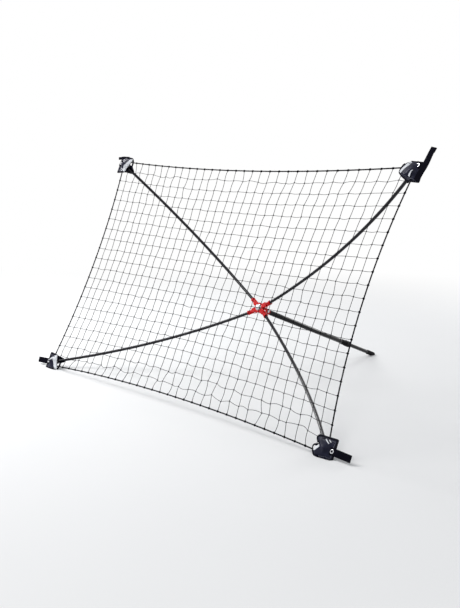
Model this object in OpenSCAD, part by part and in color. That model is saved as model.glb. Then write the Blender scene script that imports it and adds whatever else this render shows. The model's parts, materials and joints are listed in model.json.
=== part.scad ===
/* [Net] */
// Width between the pole tips at the corners of the net
net_w = 1524; // [1400:4:1640]
// Height between the pole tips, measured along the net
net_h = 930; // [860:2:1000]
// Lean of the net back from upright, in degrees
lean = 25; // [22:0.5:28]
// Height of the lower pole tips above the ground
tip_h = 24; // [22:0.5:26]
// Number of gaps across the net
net_cols = 22; // [16:1:22]
// Number of gaps up the net
net_rows = 13; // [9:1:13]
// Thickness of the netting twine
twine_d = 3; // [2.4:0.1:3.6]
// Diameter of the border rope
rope_d = 5; // [4:0.1:6]
// Inward bow of the side ropes
side_bow = 46; // [30:1:60]
// Inward bow of the top and bottom ropes
level_bow = 30; // [16:1:40]
// How far the rope corners lie outside the pole tips, sideways
rope_out_u = 8; // [5:0.5:11]
// How far the rope corners lie outside the pole tips, along the net
rope_out_w = 16; // [12:0.5:18]

/* [Poles] */
// Diameter of a bent pole
pole_d = 12; // [10:0.1:13]
// Depth of the hub behind the net
hub_depth = 325; // [290:1:350]
// Forward tilt of each socket where the pole leaves the hub, in degrees
socket_tilt = 9.5; // [8:0.25:11]
// Straight length at each end of a pole
straight_len = 64; // [60:1:90]
// Outer diameter of the cap on a pole's tip
tip_cap_d = 14.8; // [14.6:0.1:16]
// Length of that cap over the pole
tip_cap_grip = 15; // [10:0.5:20]

/* [Hub] */
// Distance of a pole's hinge pin from the middle of the hub
hinge_r = 28; // [27.5:0.25:31]
// Diameter of a pole's hinge pin
hinge_pin_d = 4; // [3:0.1:5]
// Width of the socket's knuckle between its ears
knuckle_w = 9; // [7:0.25:10]
// Radius of the knuckle
knuckle_r = 7; // [6:0.1:7.3]
// Wall of one ear beside the knuckle
ear_wall = 4.5; // [3.5:0.25:5]
// Outer diameter of the socket
socket_d = 17; // [16:0.1:17.6]
// Distance from the hinge pin to the socket's near end
socket_start = 10; // [9:0.25:11]
// Distance from the hinge pin to the socket's mouth
socket_end = 30; // [27:0.5:36]
// Depth of the pole's seat in the socket
socket_depth = 16; // [12:0.5:16]
// Half of the hub's thickness at its ears
ear_r = 7.5; // [7.4:0.1:8.5]
// Thickness of the star-shaped front plate
front_plate_t = 3; // [2.5:0.1:4]
// Diameter of the centre bolt
centre_bolt_d = 6; // [5:0.1:7]
// Diameter of the domed nut
dome_d = 23; // [18:0.5:26]
// Height of the domed nut
dome_h = 9; // [8:0.25:11]

/* [Leg] */
// Distance of the leg's pivot behind the middle of the hub
leg_pivot_depth = 34; // [33:0.5:40]
// Rise of the leg above the hub's own axis, in degrees
leg_rise = 3.75; // [2:0.25:5]
// Outer diameter of the leg's outer tube
outer_tube_d = 20.5; // [20:0.1:21]
// Outer diameter of the leg's inner tube
inner_tube_d = 17; // [16.4:0.1:17.2]
// Wall of both tubes
tube_wall = 1.2; // [1:0.1:1.4]
// Distance from the pivot to the outer tube's far end
outer_tube_end = 564; // [520:1:600]
// Length of inner tube hidden inside the leg
inner_tube_hidden = 320; // [260:1:400]
// Diameter of the leg's pivot bolt
leg_bolt_d = 6; // [5:0.1:7]
// Thickness of each bracket ear beside the leg
bracket_ear_t = 4.5; // [4:0.1:5]
// Half height of a bracket ear
bracket_ear_r = 9; // [8:0.1:9.5]
// Outer diameter of the twist collar
collar_d = 27; // [26:0.1:30]
// Length of the twist collar
collar_len = 36; // [34:0.5:46]
// Length of the fixed lock body on the outer tube
lock_body_len = 26; // [22:0.5:36]
// Outer diameter of the rubber foot
foot_d = 20.5; // [20:0.1:22]
// Grip of the rubber foot on the inner tube
foot_grip = 32; // [24:0.5:40]

/* [Corner pockets] */
// Reach of a pocket from the pole tip towards the middle, sideways
pocket_in_u = 54; // [50:0.5:58]
// Reach of a pocket from the pole tip towards the middle, along the net
pocket_in_w = 30; // [26:0.5:36]
// Reach of the pocket's flap outside the pole tip
flap_out = 30; // [28.5:0.25:34]
// Thickness of the pocket's fabric panel
panel_t = 3; // [2.6:0.1:4]
// Length of the sleeve that holds the pole's tip
sleeve_len = 50; // [40:0.5:56]
// Wall of that sleeve
sleeve_wall = 1.8; // [1.4:0.1:2.2]
// Width of a pull tab
tab_w = 24; // [20:0.5:25]
// Length of a pull tab from the pole tip to its free end
tab_len = 98; // [80:1:104]
// Thickness of a pull tab
tab_t = 2.5; // [2:0.1:3]
// Bore of a corner eyelet
eyelet_bore = 8; // [6:0.1:9]
// Distance of an eyelet from the pole tip
eyelet_out = 23; // [22.5:0.1:24]
// Width of the eyelet's rim
eyelet_rim = 3; // [2:0.1:3.2]

/* [Clearances] */
// Running clearance between a pin and its turning bore
run_gap = 0.05; // [0.02:0.01:0.08]
// Clearance of a fixed pin or tube in its seat
seat_gap = 0.02; // [0.01:0.01:0.05]
// Clearance between sliding tubes
slide_gap = 0.08; // [0.04:0.01:0.1]
// Clearance beside a knuckle and beside the leg's head
side_gap = 0.2; // [0.1:0.05:0.3]
// Clearance between soft pieces that lie against each other
soft_gap = 0.3; // [0.2:0.05:0.5]
// Clearance at a pole's forward stop
stop_gap = 0.2; // [0.1:0.05:0.4]

/* [Hidden] */
$fn = 48;

// Corners of the net: 0 top right, 1 top left, 2 bottom left, 3 bottom right
side_of = [1, -1, -1, 1];
level_of = [1, 1, -1, -1];
// Direction of each pull tab, from level towards the net's outer edge
tab_angle = [62, 12, 4, 4];

// Net and corners
half_w = net_w / 2;
half_h = net_h / 2;
corner_angle = atan2(half_h, half_w);
corner_r = norm([half_w, half_h]);
net_centre_z = tip_h + half_h * cos(lean);
twine_r = twine_d / 2;
rope_r = rope_d / 2;
rope_half_w = half_w + rope_out_u;
rope_half_h = half_h + rope_out_w;
net_chord_sag = side_bow / (net_rows * net_rows);
net_edge_in = rope_r + soft_gap + net_chord_sag + twine_r;
net_reach_w = rope_half_w - net_edge_in;
net_reach_h = rope_half_h - net_edge_in;

// Poles
pole_r = pole_d / 2;
pole_end_r = pole_r - 0.1;
pole_joint = 1;
tip_reach = [corner_r - hinge_r, hub_depth];
tip_bearing = atan2(tip_reach[1], tip_reach[0]);
pole_bend = 2 * (tip_bearing - socket_tilt);
bend_r = (norm(tip_reach) - 2 * straight_len * cos(pole_bend / 2)) / (2 * sin(pole_bend / 2));
tip_cap_floor = 3;
tip_cap_r = tip_cap_d / 2;

// Hub
core_r = hinge_r - ear_r - 0.3;
hub_back = -ear_r - 0.5;
hub_front = ear_r + 0.1;
plate_front = hub_front + front_plate_t;
ear_span = knuckle_w + 2 * side_gap + 2 * ear_wall;
socket_r = socket_d / 2;
stop_r = hinge_r + socket_start * cos(socket_tilt) - socket_r * sin(socket_tilt) - stop_gap;
pin_head_r = hinge_pin_d / 2 + 1.2;
pin_head_t = 1;
washer_t = 1.5;
washer_r = dome_d / 2 + 1.5;
bracket_base_t = 5;
bolt_head_h = 3.8;
bolt_head_r = centre_bolt_d;
bracket_back = hub_back - bracket_base_t;
bolt_seat = bracket_back + bolt_head_h;

// Leg
leg_slope = lean - leg_rise;
pivot_out = hub_depth + leg_pivot_depth;
pivot_z = net_centre_z - pivot_out * sin(lean);
leg_len = pivot_z / sin(leg_slope);
outer_tube_r = outer_tube_d / 2;
outer_bore_r = outer_tube_r - tube_wall;
inner_tube_r = inner_tube_d / 2;
head_r = outer_tube_r + 0.4;
head_reach = 16;
shoulder = 20;
spigot_len = 30;
bracket_in = head_r + side_gap + 0.2;
bracket_out = bracket_in + bracket_ear_t;
bolt_cap_r = leg_bolt_d;
bolt_cap_h = 3;
lock_start = outer_tube_end - lock_body_len;
lock_nose = outer_tube_end + 22;
collar_start = outer_tube_end + 6;
collar_end = collar_start + collar_len;
lock_body_r = collar_d / 2 - 1.5;
nose_r = collar_d / 2 - 2.2;
bush_r = inner_tube_r + 1.6;
lock_taper = 16;
collar_taper = 8;
foot_floor = 2;
inner_tube_end = leg_len - (inner_tube_r * cos(leg_slope) + foot_floor) / sin(leg_slope);
inner_tube_start = collar_end - inner_tube_hidden;
foot_r = foot_d / 2;
foot_start = inner_tube_end - foot_grip;
foot_end = leg_len - 6;

// Pockets
sleeve_bore_r = tip_cap_r + soft_gap;
sleeve_r = sleeve_bore_r + sleeve_wall;
sleeve_end = tip_cap_floor + soft_gap + sleeve_wall;
pouch_out = 10;
gusset_in = 1.5;
gusset_t = panel_t - 0.6;
flap_chamfer = 6;
mouth_u = pocket_in_u - 40;
mouth_w = pocket_in_w - 26;
tab_start = 15;
eyelet_r = eyelet_bore / 2;
eyelet_wall = 0.8;
eyelet_rim_r = eyelet_r + eyelet_rim;
eyelet_rim_t = 1;

// Place of the whole object: its bounding box is centred over the origin
front_y = -half_h * sin(lean) - tip_h * tan(lean) - panel_t / 2 / cos(lean);
back_y = pivot_out * cos(lean) + foot_end * cos(leg_slope) + foot_r * sin(leg_slope);
net_centre_y = -(front_y + back_y) / 2;

// Frames

// The net's own frame: X across, Y up along the net, Z out of its playing face
module net_frame() {
  translate([0, net_centre_y, net_centre_z]) rotate([90 - lean, 0, 0]) children();
}

// The hub's frame, straight behind the middle of the net
module hub_frame() {
  net_frame() translate([0, 0, -hub_depth]) children();
}

// One arm of the hub, with X running out towards corner i
module arm_frame(i) {
  a = level_of[i] * (side_of[i] > 0 ? corner_angle : 180 - corner_angle);
  hub_frame() rotate([0, 0, a]) children();
}

// One pole's own frame, at its hinge pin, with X along the socket
module pole_frame(i) {
  arm_frame(i) translate([hinge_r, 0, 0]) rotate([0, -socket_tilt, 0]) children();
}

// The far end of a pole's bend, inside the pole's own frame
module bend_end() {
  translate([straight_len + bend_r * sin(pole_bend), 0, bend_r * (1 - cos(pole_bend))])
    rotate([0, -pole_bend, 0]) children();
}

// The tip of pole i, with X running on past its end
module tip_frame(i) {
  pole_frame(i) bend_end() translate([straight_len, 0, 0]) children();
}

// Corner i of the net, with X and Y both running outwards
module corner_frame(i) {
  net_frame() translate([side_of[i] * half_w, level_of[i] * half_h, 0])
    mirror([side_of[i] > 0 ? 0 : 1, 0, 0])
      mirror([0, level_of[i] > 0 ? 0 : 1, 0])
        children();
}

// The leg's frame, at its pivot, with Z running down the leg and Y below it
module leg_frame() {
  hub_frame() translate([0, 0, -leg_pivot_depth]) rotate([180 + leg_rise, 0, 0]) children();
}

// A rod along X from x0 to x1
module rod_x(r, x0, x1) {
  translate([x0, 0, 0]) rotate([0, 90, 0]) cylinder(r = r, h = x1 - x0);
}

// A rod along Y, centred
module rod_y(r, len) {
  rotate([90, 0, 0]) cylinder(r = r, h = len, center = true);
}

// Everything below the ground
module below_ground() {
  span = 4 * net_w;
  translate([-span / 2, -span / 2, -span]) cube([span, span, span]);
}

// Hub

// A four-armed star, reaching r_out, as wide as the paired ears
module star(r_out, z0, z1) {
  for (i = [0:3])
    rotate([0, 0, level_of[i] * (side_of[i] > 0 ? corner_angle : 180 - corner_angle)])
      translate([0, -ear_span / 2, z0]) cube([r_out, ear_span, z1 - z0]);
}

module hub_body() {
  color("crimson") hub_frame() difference() {
    union() {
      translate([0, 0, hub_back]) cylinder(r = core_r, h = hub_front - hub_back);
      star(hinge_r, -ear_r, ear_r);
      for (i = [0:3]) hub_arm(i) rod_y(ear_r, ear_span);
    }
    for (i = [0:3]) hub_arm(i) {
      translate([-hinge_r + core_r, -knuckle_w / 2 - side_gap, 2 * hub_back])
        cube([hinge_r, knuckle_w + 2 * side_gap, 4 * ear_r + 1]);
      rod_y(hinge_pin_d / 2 + seat_gap, ear_span + 2);
    }
    translate([0, 0, hub_back - 1])
      cylinder(r = centre_bolt_d / 2 + seat_gap, h = hub_front - hub_back + 2);
  }
}

// The place of hinge pin i inside the hub's frame
module hub_arm(i) {
  rotate([0, 0, level_of[i] * (side_of[i] > 0 ? corner_angle : 180 - corner_angle)])
    translate([hinge_r, 0, 0]) children();
}

module hub_front_plate() {
  color("red") hub_frame() difference() {
    union() {
      star(stop_r, hub_front, plate_front);
      translate([0, 0, hub_front]) cylinder(r = core_r, h = front_plate_t);
    }
    translate([0, 0, hub_front - 1])
      cylinder(r = centre_bolt_d / 2 + seat_gap, h = front_plate_t + 2);
  }
}

module centre_bolt() {
  shank_top = plate_front + washer_t + dome_h - 3;
  color("silver") hub_frame() {
    translate([0, 0, bolt_seat]) cylinder(r = centre_bolt_d / 2, h = shank_top - bolt_seat);
    translate([0, 0, bracket_back]) cylinder(r = bolt_head_r, h = bolt_head_h, $fn = 6);
  }
}

module centre_washer() {
  color("gainsboro") hub_frame() translate([0, 0, plate_front]) difference() {
    cylinder(r = washer_r, h = washer_t);
    translate([0, 0, -1]) cylinder(r = centre_bolt_d / 2 + seat_gap, h = washer_t + 2);
  }
}

// A low dome on a short round foot, blind inside
module dome_nut() {
  foot = 2;
  rise = dome_h - foot;
  ball_r = (pow(dome_d / 2, 2) + rise * rise) / (2 * rise);
  color("silver") hub_frame() translate([0, 0, plate_front + washer_t]) difference() {
    union() {
      cylinder(r = dome_d / 2, h = foot);
      intersection() {
        translate([0, 0, dome_h - ball_r]) sphere(r = ball_r);
        translate([0, 0, foot]) cylinder(r = dome_d, h = dome_h);
      }
    }
    translate([0, 0, -1]) cylinder(r = centre_bolt_d / 2 + seat_gap, h = dome_h - 3 + 1.2);
  }
}

module pole_hinge_pins() {
  color("silver") hub_frame() for (i = [0:3]) hub_arm(i) {
    rod_y(hinge_pin_d / 2, ear_span);
    for (s = [-1, 1])
      translate([0, s * (ear_span + pin_head_t) / 2, 0]) rod_y(pin_head_r, pin_head_t);
  }
}

// Arms

// A knuckle and neck that carry a round socket
module socket(i) {
  neck_h = 2 * (knuckle_r - 2);
  ring = 4;
  color("crimson") pole_frame(i) difference() {
    union() {
      rod_y(knuckle_r, knuckle_w);
      translate([0, -knuckle_w / 2, -neck_h / 2]) cube([socket_start + 1, knuckle_w, neck_h]);
      rod_x(socket_r, socket_start, socket_end);
      rod_x(socket_r + 0.8, socket_end - ring, socket_end);
    }
    rod_y(hinge_pin_d / 2 + run_gap, knuckle_w + 2);
    rod_x(pole_end_r + seat_gap, socket_end - socket_depth, socket_end + 1);
  }
}

// A rod that is bent round between two straight ends, which are ground down a little to fit
module pole(i) {
  color("#1b1b22") pole_frame(i) {
    rod_x(pole_end_r, socket_end - socket_depth + soft_gap, straight_len + pole_joint);
    translate([straight_len, 0, bend_r]) rotate([90, 0, 0]) rotate([0, 0, -90])
      rotate_extrude(angle = pole_bend) translate([bend_r, 0]) circle(r = pole_r);
    bend_end() rod_x(pole_end_r, -pole_joint, straight_len);
  }
}

module tip_cap(i) {
  color("#101014") tip_frame(i) rotate([0, 90, 0]) rotate_extrude()
    polygon([
      [0, seat_gap],
      [pole_end_r + seat_gap, seat_gap],
      [pole_end_r + seat_gap, -tip_cap_grip],
      [tip_cap_r, -tip_cap_grip],
      [tip_cap_r, tip_cap_floor - 1.5],
      [tip_cap_r - 1.5, tip_cap_floor],
      [0, tip_cap_floor]
    ]);
}

// The pouch round a pole's tip, with a flat flap outside it
module pocket(i) {
  color("#23263a") difference() {
    union() {
      hull() {
        corner_frame(i) translate([0, 0, -gusset_t / 2]) linear_extrude(gusset_t)
          polygon([
            [gusset_in - pocket_in_u, -mouth_w],
            [gusset_in - pocket_in_u, pouch_out],
            [pouch_out, pouch_out],
            [pouch_out, gusset_in - pocket_in_w],
            [-mouth_u, gusset_in - pocket_in_w]
          ]);
        tip_frame(i) rod_x(sleeve_r, -sleeve_len, sleeve_end, $fn = 32);
      }
      corner_frame(i) translate([0, 0, -panel_t / 2]) linear_extrude(panel_t)
        polygon([
          [-pocket_in_u, -mouth_w],
          [-pocket_in_u, flap_out - flap_chamfer],
          [-pocket_in_u + flap_chamfer, flap_out],
          [flap_out - flap_chamfer, flap_out],
          [flap_out, flap_out - flap_chamfer],
          [flap_out, -pocket_in_w],
          [-mouth_u, -pocket_in_w]
        ]);
    }
    tip_frame(i) rod_x(sleeve_bore_r, -2 * sleeve_len, tip_cap_floor + soft_gap);
    eyelet_place(i) translate([0, 0, -2 * panel_t])
      cylinder(r = eyelet_r + eyelet_wall + seat_gap, h = 4 * panel_t);
    below_ground();
  }
}

// The middle of eyelet i, in the plane of the net
module eyelet_place(i) {
  corner_frame(i) rotate([0, 0, tab_angle[i]]) translate([eyelet_out, 0, 0]) children();
}

// A webbing strap sewn to the front of the flap, with a rounded free end
module pull_tab(i) {
  color("#15151a") difference() {
    corner_frame(i) rotate([0, 0, tab_angle[i]]) translate([0, 0, panel_t / 2])
      linear_extrude(tab_t)
        polygon([
          [tab_start, -tab_w / 2],
          [tab_len - 4, -tab_w / 2],
          [tab_len, -tab_w / 2 + 4],
          [tab_len, tab_w / 2 - 4],
          [tab_len - 4, tab_w / 2],
          [tab_start, tab_w / 2]
        ]);
    eyelet_place(i) cylinder(r = eyelet_r + eyelet_wall + seat_gap, h = 2 * (panel_t + tab_t));
  }
}

// A rolled metal ring through the tab and the flap
module eyelet(i) {
  back = -panel_t / 2;
  front = panel_t / 2 + tab_t;
  color("silver") eyelet_place(i) rotate_extrude()
    polygon([
      [eyelet_r, back - eyelet_rim_t],
      [eyelet_rim_r, back - eyelet_rim_t],
      [eyelet_rim_r, back],
      [eyelet_r + eyelet_wall, back],
      [eyelet_r + eyelet_wall, front],
      [eyelet_rim_r, front],
      [eyelet_rim_r, front + eyelet_rim_t],
      [eyelet_r, front + eyelet_rim_t]
    ]);
}

// Net and ropes

// A bowed rope's arc runs through both ends, half away from its middle, and bow deep
function bow_r(half, bow) = (half * half + bow * bow) / (2 * bow);

// How far inwards a bowed rope lies at a place along it
function bow_in(half, bow, at) =
  let (arc_r = bow_r(half, bow))
  bow - arc_r + sqrt(arc_r * arc_r - at * at);

// A crossing of the net: column i of net_cols, row j of net_rows, on borders that bow inwards
function crossing(i, j) =
  let (
    u = 2 * i / net_cols - 1,
    w = 2 * j / net_rows - 1,
    x = net_reach_w - bow_in(rope_half_h, side_bow, w * net_reach_h),
    y = net_reach_h - bow_in(rope_half_w, level_bow, u * net_reach_w)
  )
  [u * x, w * y];

// The gap right of column i and above row j
function gap(i, j) = [
  crossing(i, j) + [twine_r, twine_r],
  crossing(i + 1, j) + [-twine_r, twine_r],
  crossing(i + 1, j + 1) + [-twine_r, -twine_r],
  crossing(i, j + 1) + [twine_r, -twine_r]
];

// The outline leaves out the gap at each corner, where the pockets are
function outline() =
  let (c = net_cols, r = net_rows, t = twine_r)
  concat(
    [for (i = [1:c - 1]) crossing(i, 0) + [i == 1 ? -t : i == c - 1 ? t : 0, -t]],
    [crossing(c - 1, 1) + [t, -t]],
    [for (j = [1:r - 1]) crossing(c, j) + [t, j == 1 ? -t : j == r - 1 ? t : 0]],
    [crossing(c - 1, r - 1) + [t, t]],
    [for (i = [c - 1:-1:1]) crossing(i, r) + [i == 1 ? -t : i == c - 1 ? t : 0, t]],
    [crossing(1, r - 1) + [-t, t]],
    [for (j = [r - 1:-1:1]) crossing(0, j) + [-t, j == 1 ? -t : j == r - 1 ? t : 0]],
    [crossing(1, 1) + [-t, -t]]
  );

function is_corner(i, j) = (i == 0 || i == net_cols - 1) && (j == 0 || j == net_rows - 1);

module net() {
  edge = outline();
  gaps = [for (j = [0:net_rows - 1]) for (i = [0:net_cols - 1]) if (!is_corner(i, j)) gap(i, j)];
  holes = [for (k = [0:len(gaps) - 1]) [for (m = [0:3]) len(edge) + 4 * k + m]];
  color("#111114") net_frame() translate([0, 0, -twine_r]) linear_extrude(twine_d)
    polygon(
      points = concat(edge, [for (g = gaps) for (p = g) p]),
      paths = concat([[for (k = [0:len(edge) - 1]) k]], holes)
    );
}

// A rope bowed towards -Y, through [-half, 0] and [half, 0], drawn as far as x = reach
module bowed_rope(half, bow, reach) {
  arc_r = bow_r(half, bow);
  sweep = asin(reach / arc_r);
  translate([0, arc_r - bow, 0]) rotate([0, 0, -90 - sweep])
    rotate_extrude(angle = 2 * sweep) translate([arc_r, 0]) circle(r = rope_r, $fn = 24);
}

module level_rope(turn) {
  reach = half_w - pocket_in_u - soft_gap - 0.2;
  color("#0c0c0e") net_frame() rotate([0, 0, turn]) translate([0, rope_half_h, 0])
    bowed_rope(rope_half_w, level_bow, reach);
}

module side_rope(turn) {
  reach = half_h - pocket_in_w - soft_gap - 0.4;
  color("#0c0c0e") net_frame() rotate([0, 0, turn]) translate([0, rope_half_w, 0])
    bowed_rope(rope_half_h, side_bow, reach);
}

// Leg

// A base plate with two ears and the ledge that the leg's head rests on
module leg_bracket() {
  color("firebrick") difference() {
    union() {
      hub_frame() {
        translate([0, 0, bracket_back]) cylinder(r = bracket_out + 2, h = bracket_base_t);
        for (s = [-1, 1]) translate([s * (bracket_in + bracket_out) / 2, 0, 0]) {
          translate([-bracket_ear_t / 2, -bracket_ear_r, -leg_pivot_depth])
            cube([bracket_ear_t, 2 * bracket_ear_r, leg_pivot_depth + bracket_back + 1]);
          translate([0, 0, -leg_pivot_depth]) rotate([0, 90, 0])
            cylinder(r = bracket_ear_r, h = bracket_ear_t, center = true);
        }
      }
      leg_frame() translate([-bracket_out, head_r + seat_gap, -leg_pivot_depth - bracket_back - 1])
        cube([2 * bracket_out, 4, leg_pivot_depth + bracket_back + 1 - head_r - 0.8]);
    }
    hub_frame() {
      translate([0, 0, bracket_back - 1])
        cylinder(r = centre_bolt_d / 2 + seat_gap, h = bracket_base_t + 2);
      translate([0, 0, bracket_back - 1]) cylinder(r = bolt_head_r + 0.2, h = bolt_head_h + 1);
    }
    leg_frame() rod_x(leg_bolt_d / 2 + seat_gap, -2 * bracket_out, 2 * bracket_out);
  }
}

module leg_pivot_bolt() {
  nut_side = bracket_out + bolt_cap_h + 1;
  color("silver") leg_frame() {
    rod_x(leg_bolt_d / 2, -nut_side, bracket_out);
    rod_x(bolt_cap_r, bracket_out, bracket_out + bolt_cap_h);
  }
}

module leg_pivot_nut() {
  color("silver") leg_frame() translate([-bracket_out - bolt_cap_h, 0, 0]) rotate([0, 90, 0])
    difference() {
      cylinder(r = bolt_cap_r, h = bolt_cap_h, $fn = 6);
      translate([0, 0, -1]) cylinder(r = leg_bolt_d / 2 + seat_gap, h = bolt_cap_h + 2);
    }
}

module leg_top_plug() {
  color("firebrick") leg_frame() difference() {
    union() {
      translate([0, 0, -head_reach]) cylinder(r = head_r, h = head_reach + shoulder);
      translate([0, 0, shoulder]) cylinder(r = outer_bore_r - seat_gap, h = spigot_len);
    }
    rod_x(leg_bolt_d / 2 + run_gap, -2 * head_r, 2 * head_r);
  }
}

// A tube along the leg from z0 to z1
module leg_tube(r, bore, z0, z1) {
  translate([0, 0, z0]) difference() {
    cylinder(r = r, h = z1 - z0);
    translate([0, 0, -1]) cylinder(r = bore, h = z1 - z0 + 2);
  }
}

module leg_outer_tube() {
  color("#1a1a1f") leg_frame()
    leg_tube(outer_tube_r, outer_bore_r, shoulder, outer_tube_end);
}

// A sleeve on the outer tube's end, with a nose that the collar turns on
module leg_lock_body() {
  throat = inner_tube_r + slide_gap;
  color("#101013") leg_frame() rotate_extrude()
    polygon([
      [outer_tube_r + seat_gap, lock_start],
      [outer_tube_r + 0.8, lock_start],
      [lock_body_r, lock_start + lock_taper],
      [lock_body_r, collar_start - soft_gap],
      [nose_r, collar_start - soft_gap],
      [nose_r, lock_nose],
      [bush_r + seat_gap, lock_nose],
      [bush_r + seat_gap, outer_tube_end + 3],
      [throat, outer_tube_end + 3],
      [throat, outer_tube_end + seat_gap],
      [outer_tube_r + seat_gap, outer_tube_end + seat_gap]
    ]);
}

// A split bush that the collar squeezes on to the inner tube
module leg_lock_bush() {
  flange = 3.5;
  color("ivory") leg_frame() difference() {
    rotate_extrude() polygon([
      [inner_tube_r + slide_gap, outer_tube_end + 3.1],
      [bush_r, outer_tube_end + 3.1],
      [bush_r, lock_nose + soft_gap],
      [nose_r - 0.6, lock_nose + soft_gap],
      [nose_r - 0.6, lock_nose + flange - 1],
      [nose_r - 2.2, lock_nose + flange],
      [inner_tube_r + slide_gap, lock_nose + flange]
    ]);
    translate([0, -0.6, outer_tube_end]) cube([collar_d, 1.2, lock_nose]);
  }
}

// The fluted collar that turns to lock the leg
module leg_twist_collar() {
  flutes = 12;
  cavity = lock_nose + 5;
  color("#0d0d10") leg_frame() difference() {
    rotate_extrude() polygon([
      [nose_r + run_gap, collar_start],
      [collar_d / 2 - 1, collar_start],
      [collar_d / 2, collar_start + 2],
      [collar_d / 2, collar_end - collar_taper],
      [collar_d / 2 - 3, collar_end],
      [inner_tube_r + slide_gap, collar_end],
      [inner_tube_r + slide_gap, cavity + 3],
      [nose_r + run_gap, cavity]
    ]);
    for (k = [0:flutes - 1]) rotate([0, 0, 360 * k / flutes])
      translate([collar_d / 2 + 0.6, 0, collar_start + 5]) cylinder(r = 1.4, h = collar_len - collar_taper - 6);
  }
}

module leg_inner_tube() {
  color("#1a1a1f") leg_frame()
    leg_tube(inner_tube_r, inner_tube_r - tube_wall, inner_tube_start, inner_tube_end);
}

// A plastic end on the inner tube that keeps it central in the outer one
module leg_inner_guide() {
  grip = 20;
  cap = 2;
  color("ivory") leg_frame() rotate_extrude() polygon([
    [0, inner_tube_start - cap],
    [outer_bore_r - slide_gap, inner_tube_start - cap],
    [outer_bore_r - slide_gap, inner_tube_start + grip],
    [inner_tube_r + seat_gap, inner_tube_start + grip],
    [inner_tube_r + seat_gap, inner_tube_start - seat_gap],
    [0, inner_tube_start - seat_gap]
  ]);
}

// A rubber cap over the inner tube, worn flat where it stands on the ground
module leg_foot() {
  color("#08080a") difference() {
    leg_frame() rotate_extrude() polygon([
      [inner_tube_r + seat_gap, foot_start],
      [foot_r - 1.2, foot_start],
      [foot_r, foot_start + 2],
      [foot_r, foot_end],
      [0, foot_end],
      [0, inner_tube_end + seat_gap],
      [inner_tube_r + seat_gap, inner_tube_end + seat_gap]
    ]);
    below_ground();
  }
}

hub_body();
hub_front_plate();
centre_bolt();
centre_washer();
dome_nut();
pole_hinge_pins();
socket(0);  // socket_top_right
socket(1);  // socket_top_left
socket(2);  // socket_bottom_left
socket(3);  // socket_bottom_right
pole(0);  // pole_top_right
pole(1);  // pole_top_left
pole(2);  // pole_bottom_left
pole(3);  // pole_bottom_right
tip_cap(0);  // tip_cap_top_right
tip_cap(1);  // tip_cap_top_left
tip_cap(2);  // tip_cap_bottom_left
tip_cap(3);  // tip_cap_bottom_right
pocket(0);  // pocket_top_right
pocket(1);  // pocket_top_left
pocket(2);  // pocket_bottom_left
pocket(3);  // pocket_bottom_right
pull_tab(0);  // pull_tab_top_right
pull_tab(1);  // pull_tab_top_left
pull_tab(2);  // pull_tab_bottom_left
pull_tab(3);  // pull_tab_bottom_right
eyelet(0);  // eyelet_top_right
eyelet(1);  // eyelet_top_left
eyelet(2);  // eyelet_bottom_left
eyelet(3);  // eyelet_bottom_right
net();
level_rope(0);  // rope_top
level_rope(180);  // rope_bottom
side_rope(90);  // rope_left
side_rope(-90);  // rope_right
leg_bracket();
leg_pivot_bolt();
leg_pivot_nut();
leg_top_plug();
leg_outer_tube();
leg_lock_body();
leg_lock_bush();
leg_twist_collar();
leg_inner_tube();
leg_inner_guide();
leg_foot();
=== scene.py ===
"""Dresses a pitch back rebounder: netting on four bent poles, a folding hub and a sliding leg."""

import json
import logging
import math
from dataclasses import dataclass, field
from enum import Enum
from typing import Any, Callable, Optional, Sequence

import bmesh
import bpy
import numpy as np
from mathutils import Matrix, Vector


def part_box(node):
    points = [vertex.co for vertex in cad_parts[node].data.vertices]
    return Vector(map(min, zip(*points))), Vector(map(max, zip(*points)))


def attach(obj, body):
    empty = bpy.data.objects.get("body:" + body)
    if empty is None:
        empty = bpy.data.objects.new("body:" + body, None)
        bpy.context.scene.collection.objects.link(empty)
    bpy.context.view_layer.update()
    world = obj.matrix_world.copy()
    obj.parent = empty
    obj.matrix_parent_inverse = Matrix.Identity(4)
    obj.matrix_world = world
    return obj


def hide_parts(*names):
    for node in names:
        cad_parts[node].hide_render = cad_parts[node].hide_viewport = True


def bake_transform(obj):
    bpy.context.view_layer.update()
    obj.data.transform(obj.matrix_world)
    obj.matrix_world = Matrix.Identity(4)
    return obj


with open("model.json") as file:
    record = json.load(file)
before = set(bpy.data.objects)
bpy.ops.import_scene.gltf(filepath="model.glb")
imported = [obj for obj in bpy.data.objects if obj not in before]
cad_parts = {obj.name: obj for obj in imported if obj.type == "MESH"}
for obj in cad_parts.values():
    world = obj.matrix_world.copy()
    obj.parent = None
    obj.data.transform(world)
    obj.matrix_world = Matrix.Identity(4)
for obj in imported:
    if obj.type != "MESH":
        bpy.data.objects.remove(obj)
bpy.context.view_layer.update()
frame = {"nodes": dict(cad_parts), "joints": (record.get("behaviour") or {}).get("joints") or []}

log = logging.getLogger("rebounder")
Array = np.ndarray
Colour = tuple[float, float, float]
MM = 0.001
WELD = 2e-6  # metres: points nearer than this are one
FIT = 0.02 * MM  # room between a piece and what it sits on


# ---- Surfaces worked out on grids ----


def unit(v: Array) -> Array:
    """Vectors scaled to length one along their last axis."""
    return v / np.maximum(np.linalg.norm(v, axis=-1, keepdims=True), 1e-12)


def ease(t: Array) -> Array:
    """The smooth step 3t^2 - 2t^3 of t held between 0 and 1."""
    t = np.clip(t, 0.0, 1.0)
    return t * t * (3.0 - 2.0 * t)


def run_length(points: Array) -> Array:
    """Distance run along a path at each of its points, from 0."""
    steps = np.linalg.norm(np.diff(points, axis=0), axis=1)
    return np.concatenate([[0.0], np.cumsum(steps)])


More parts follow.
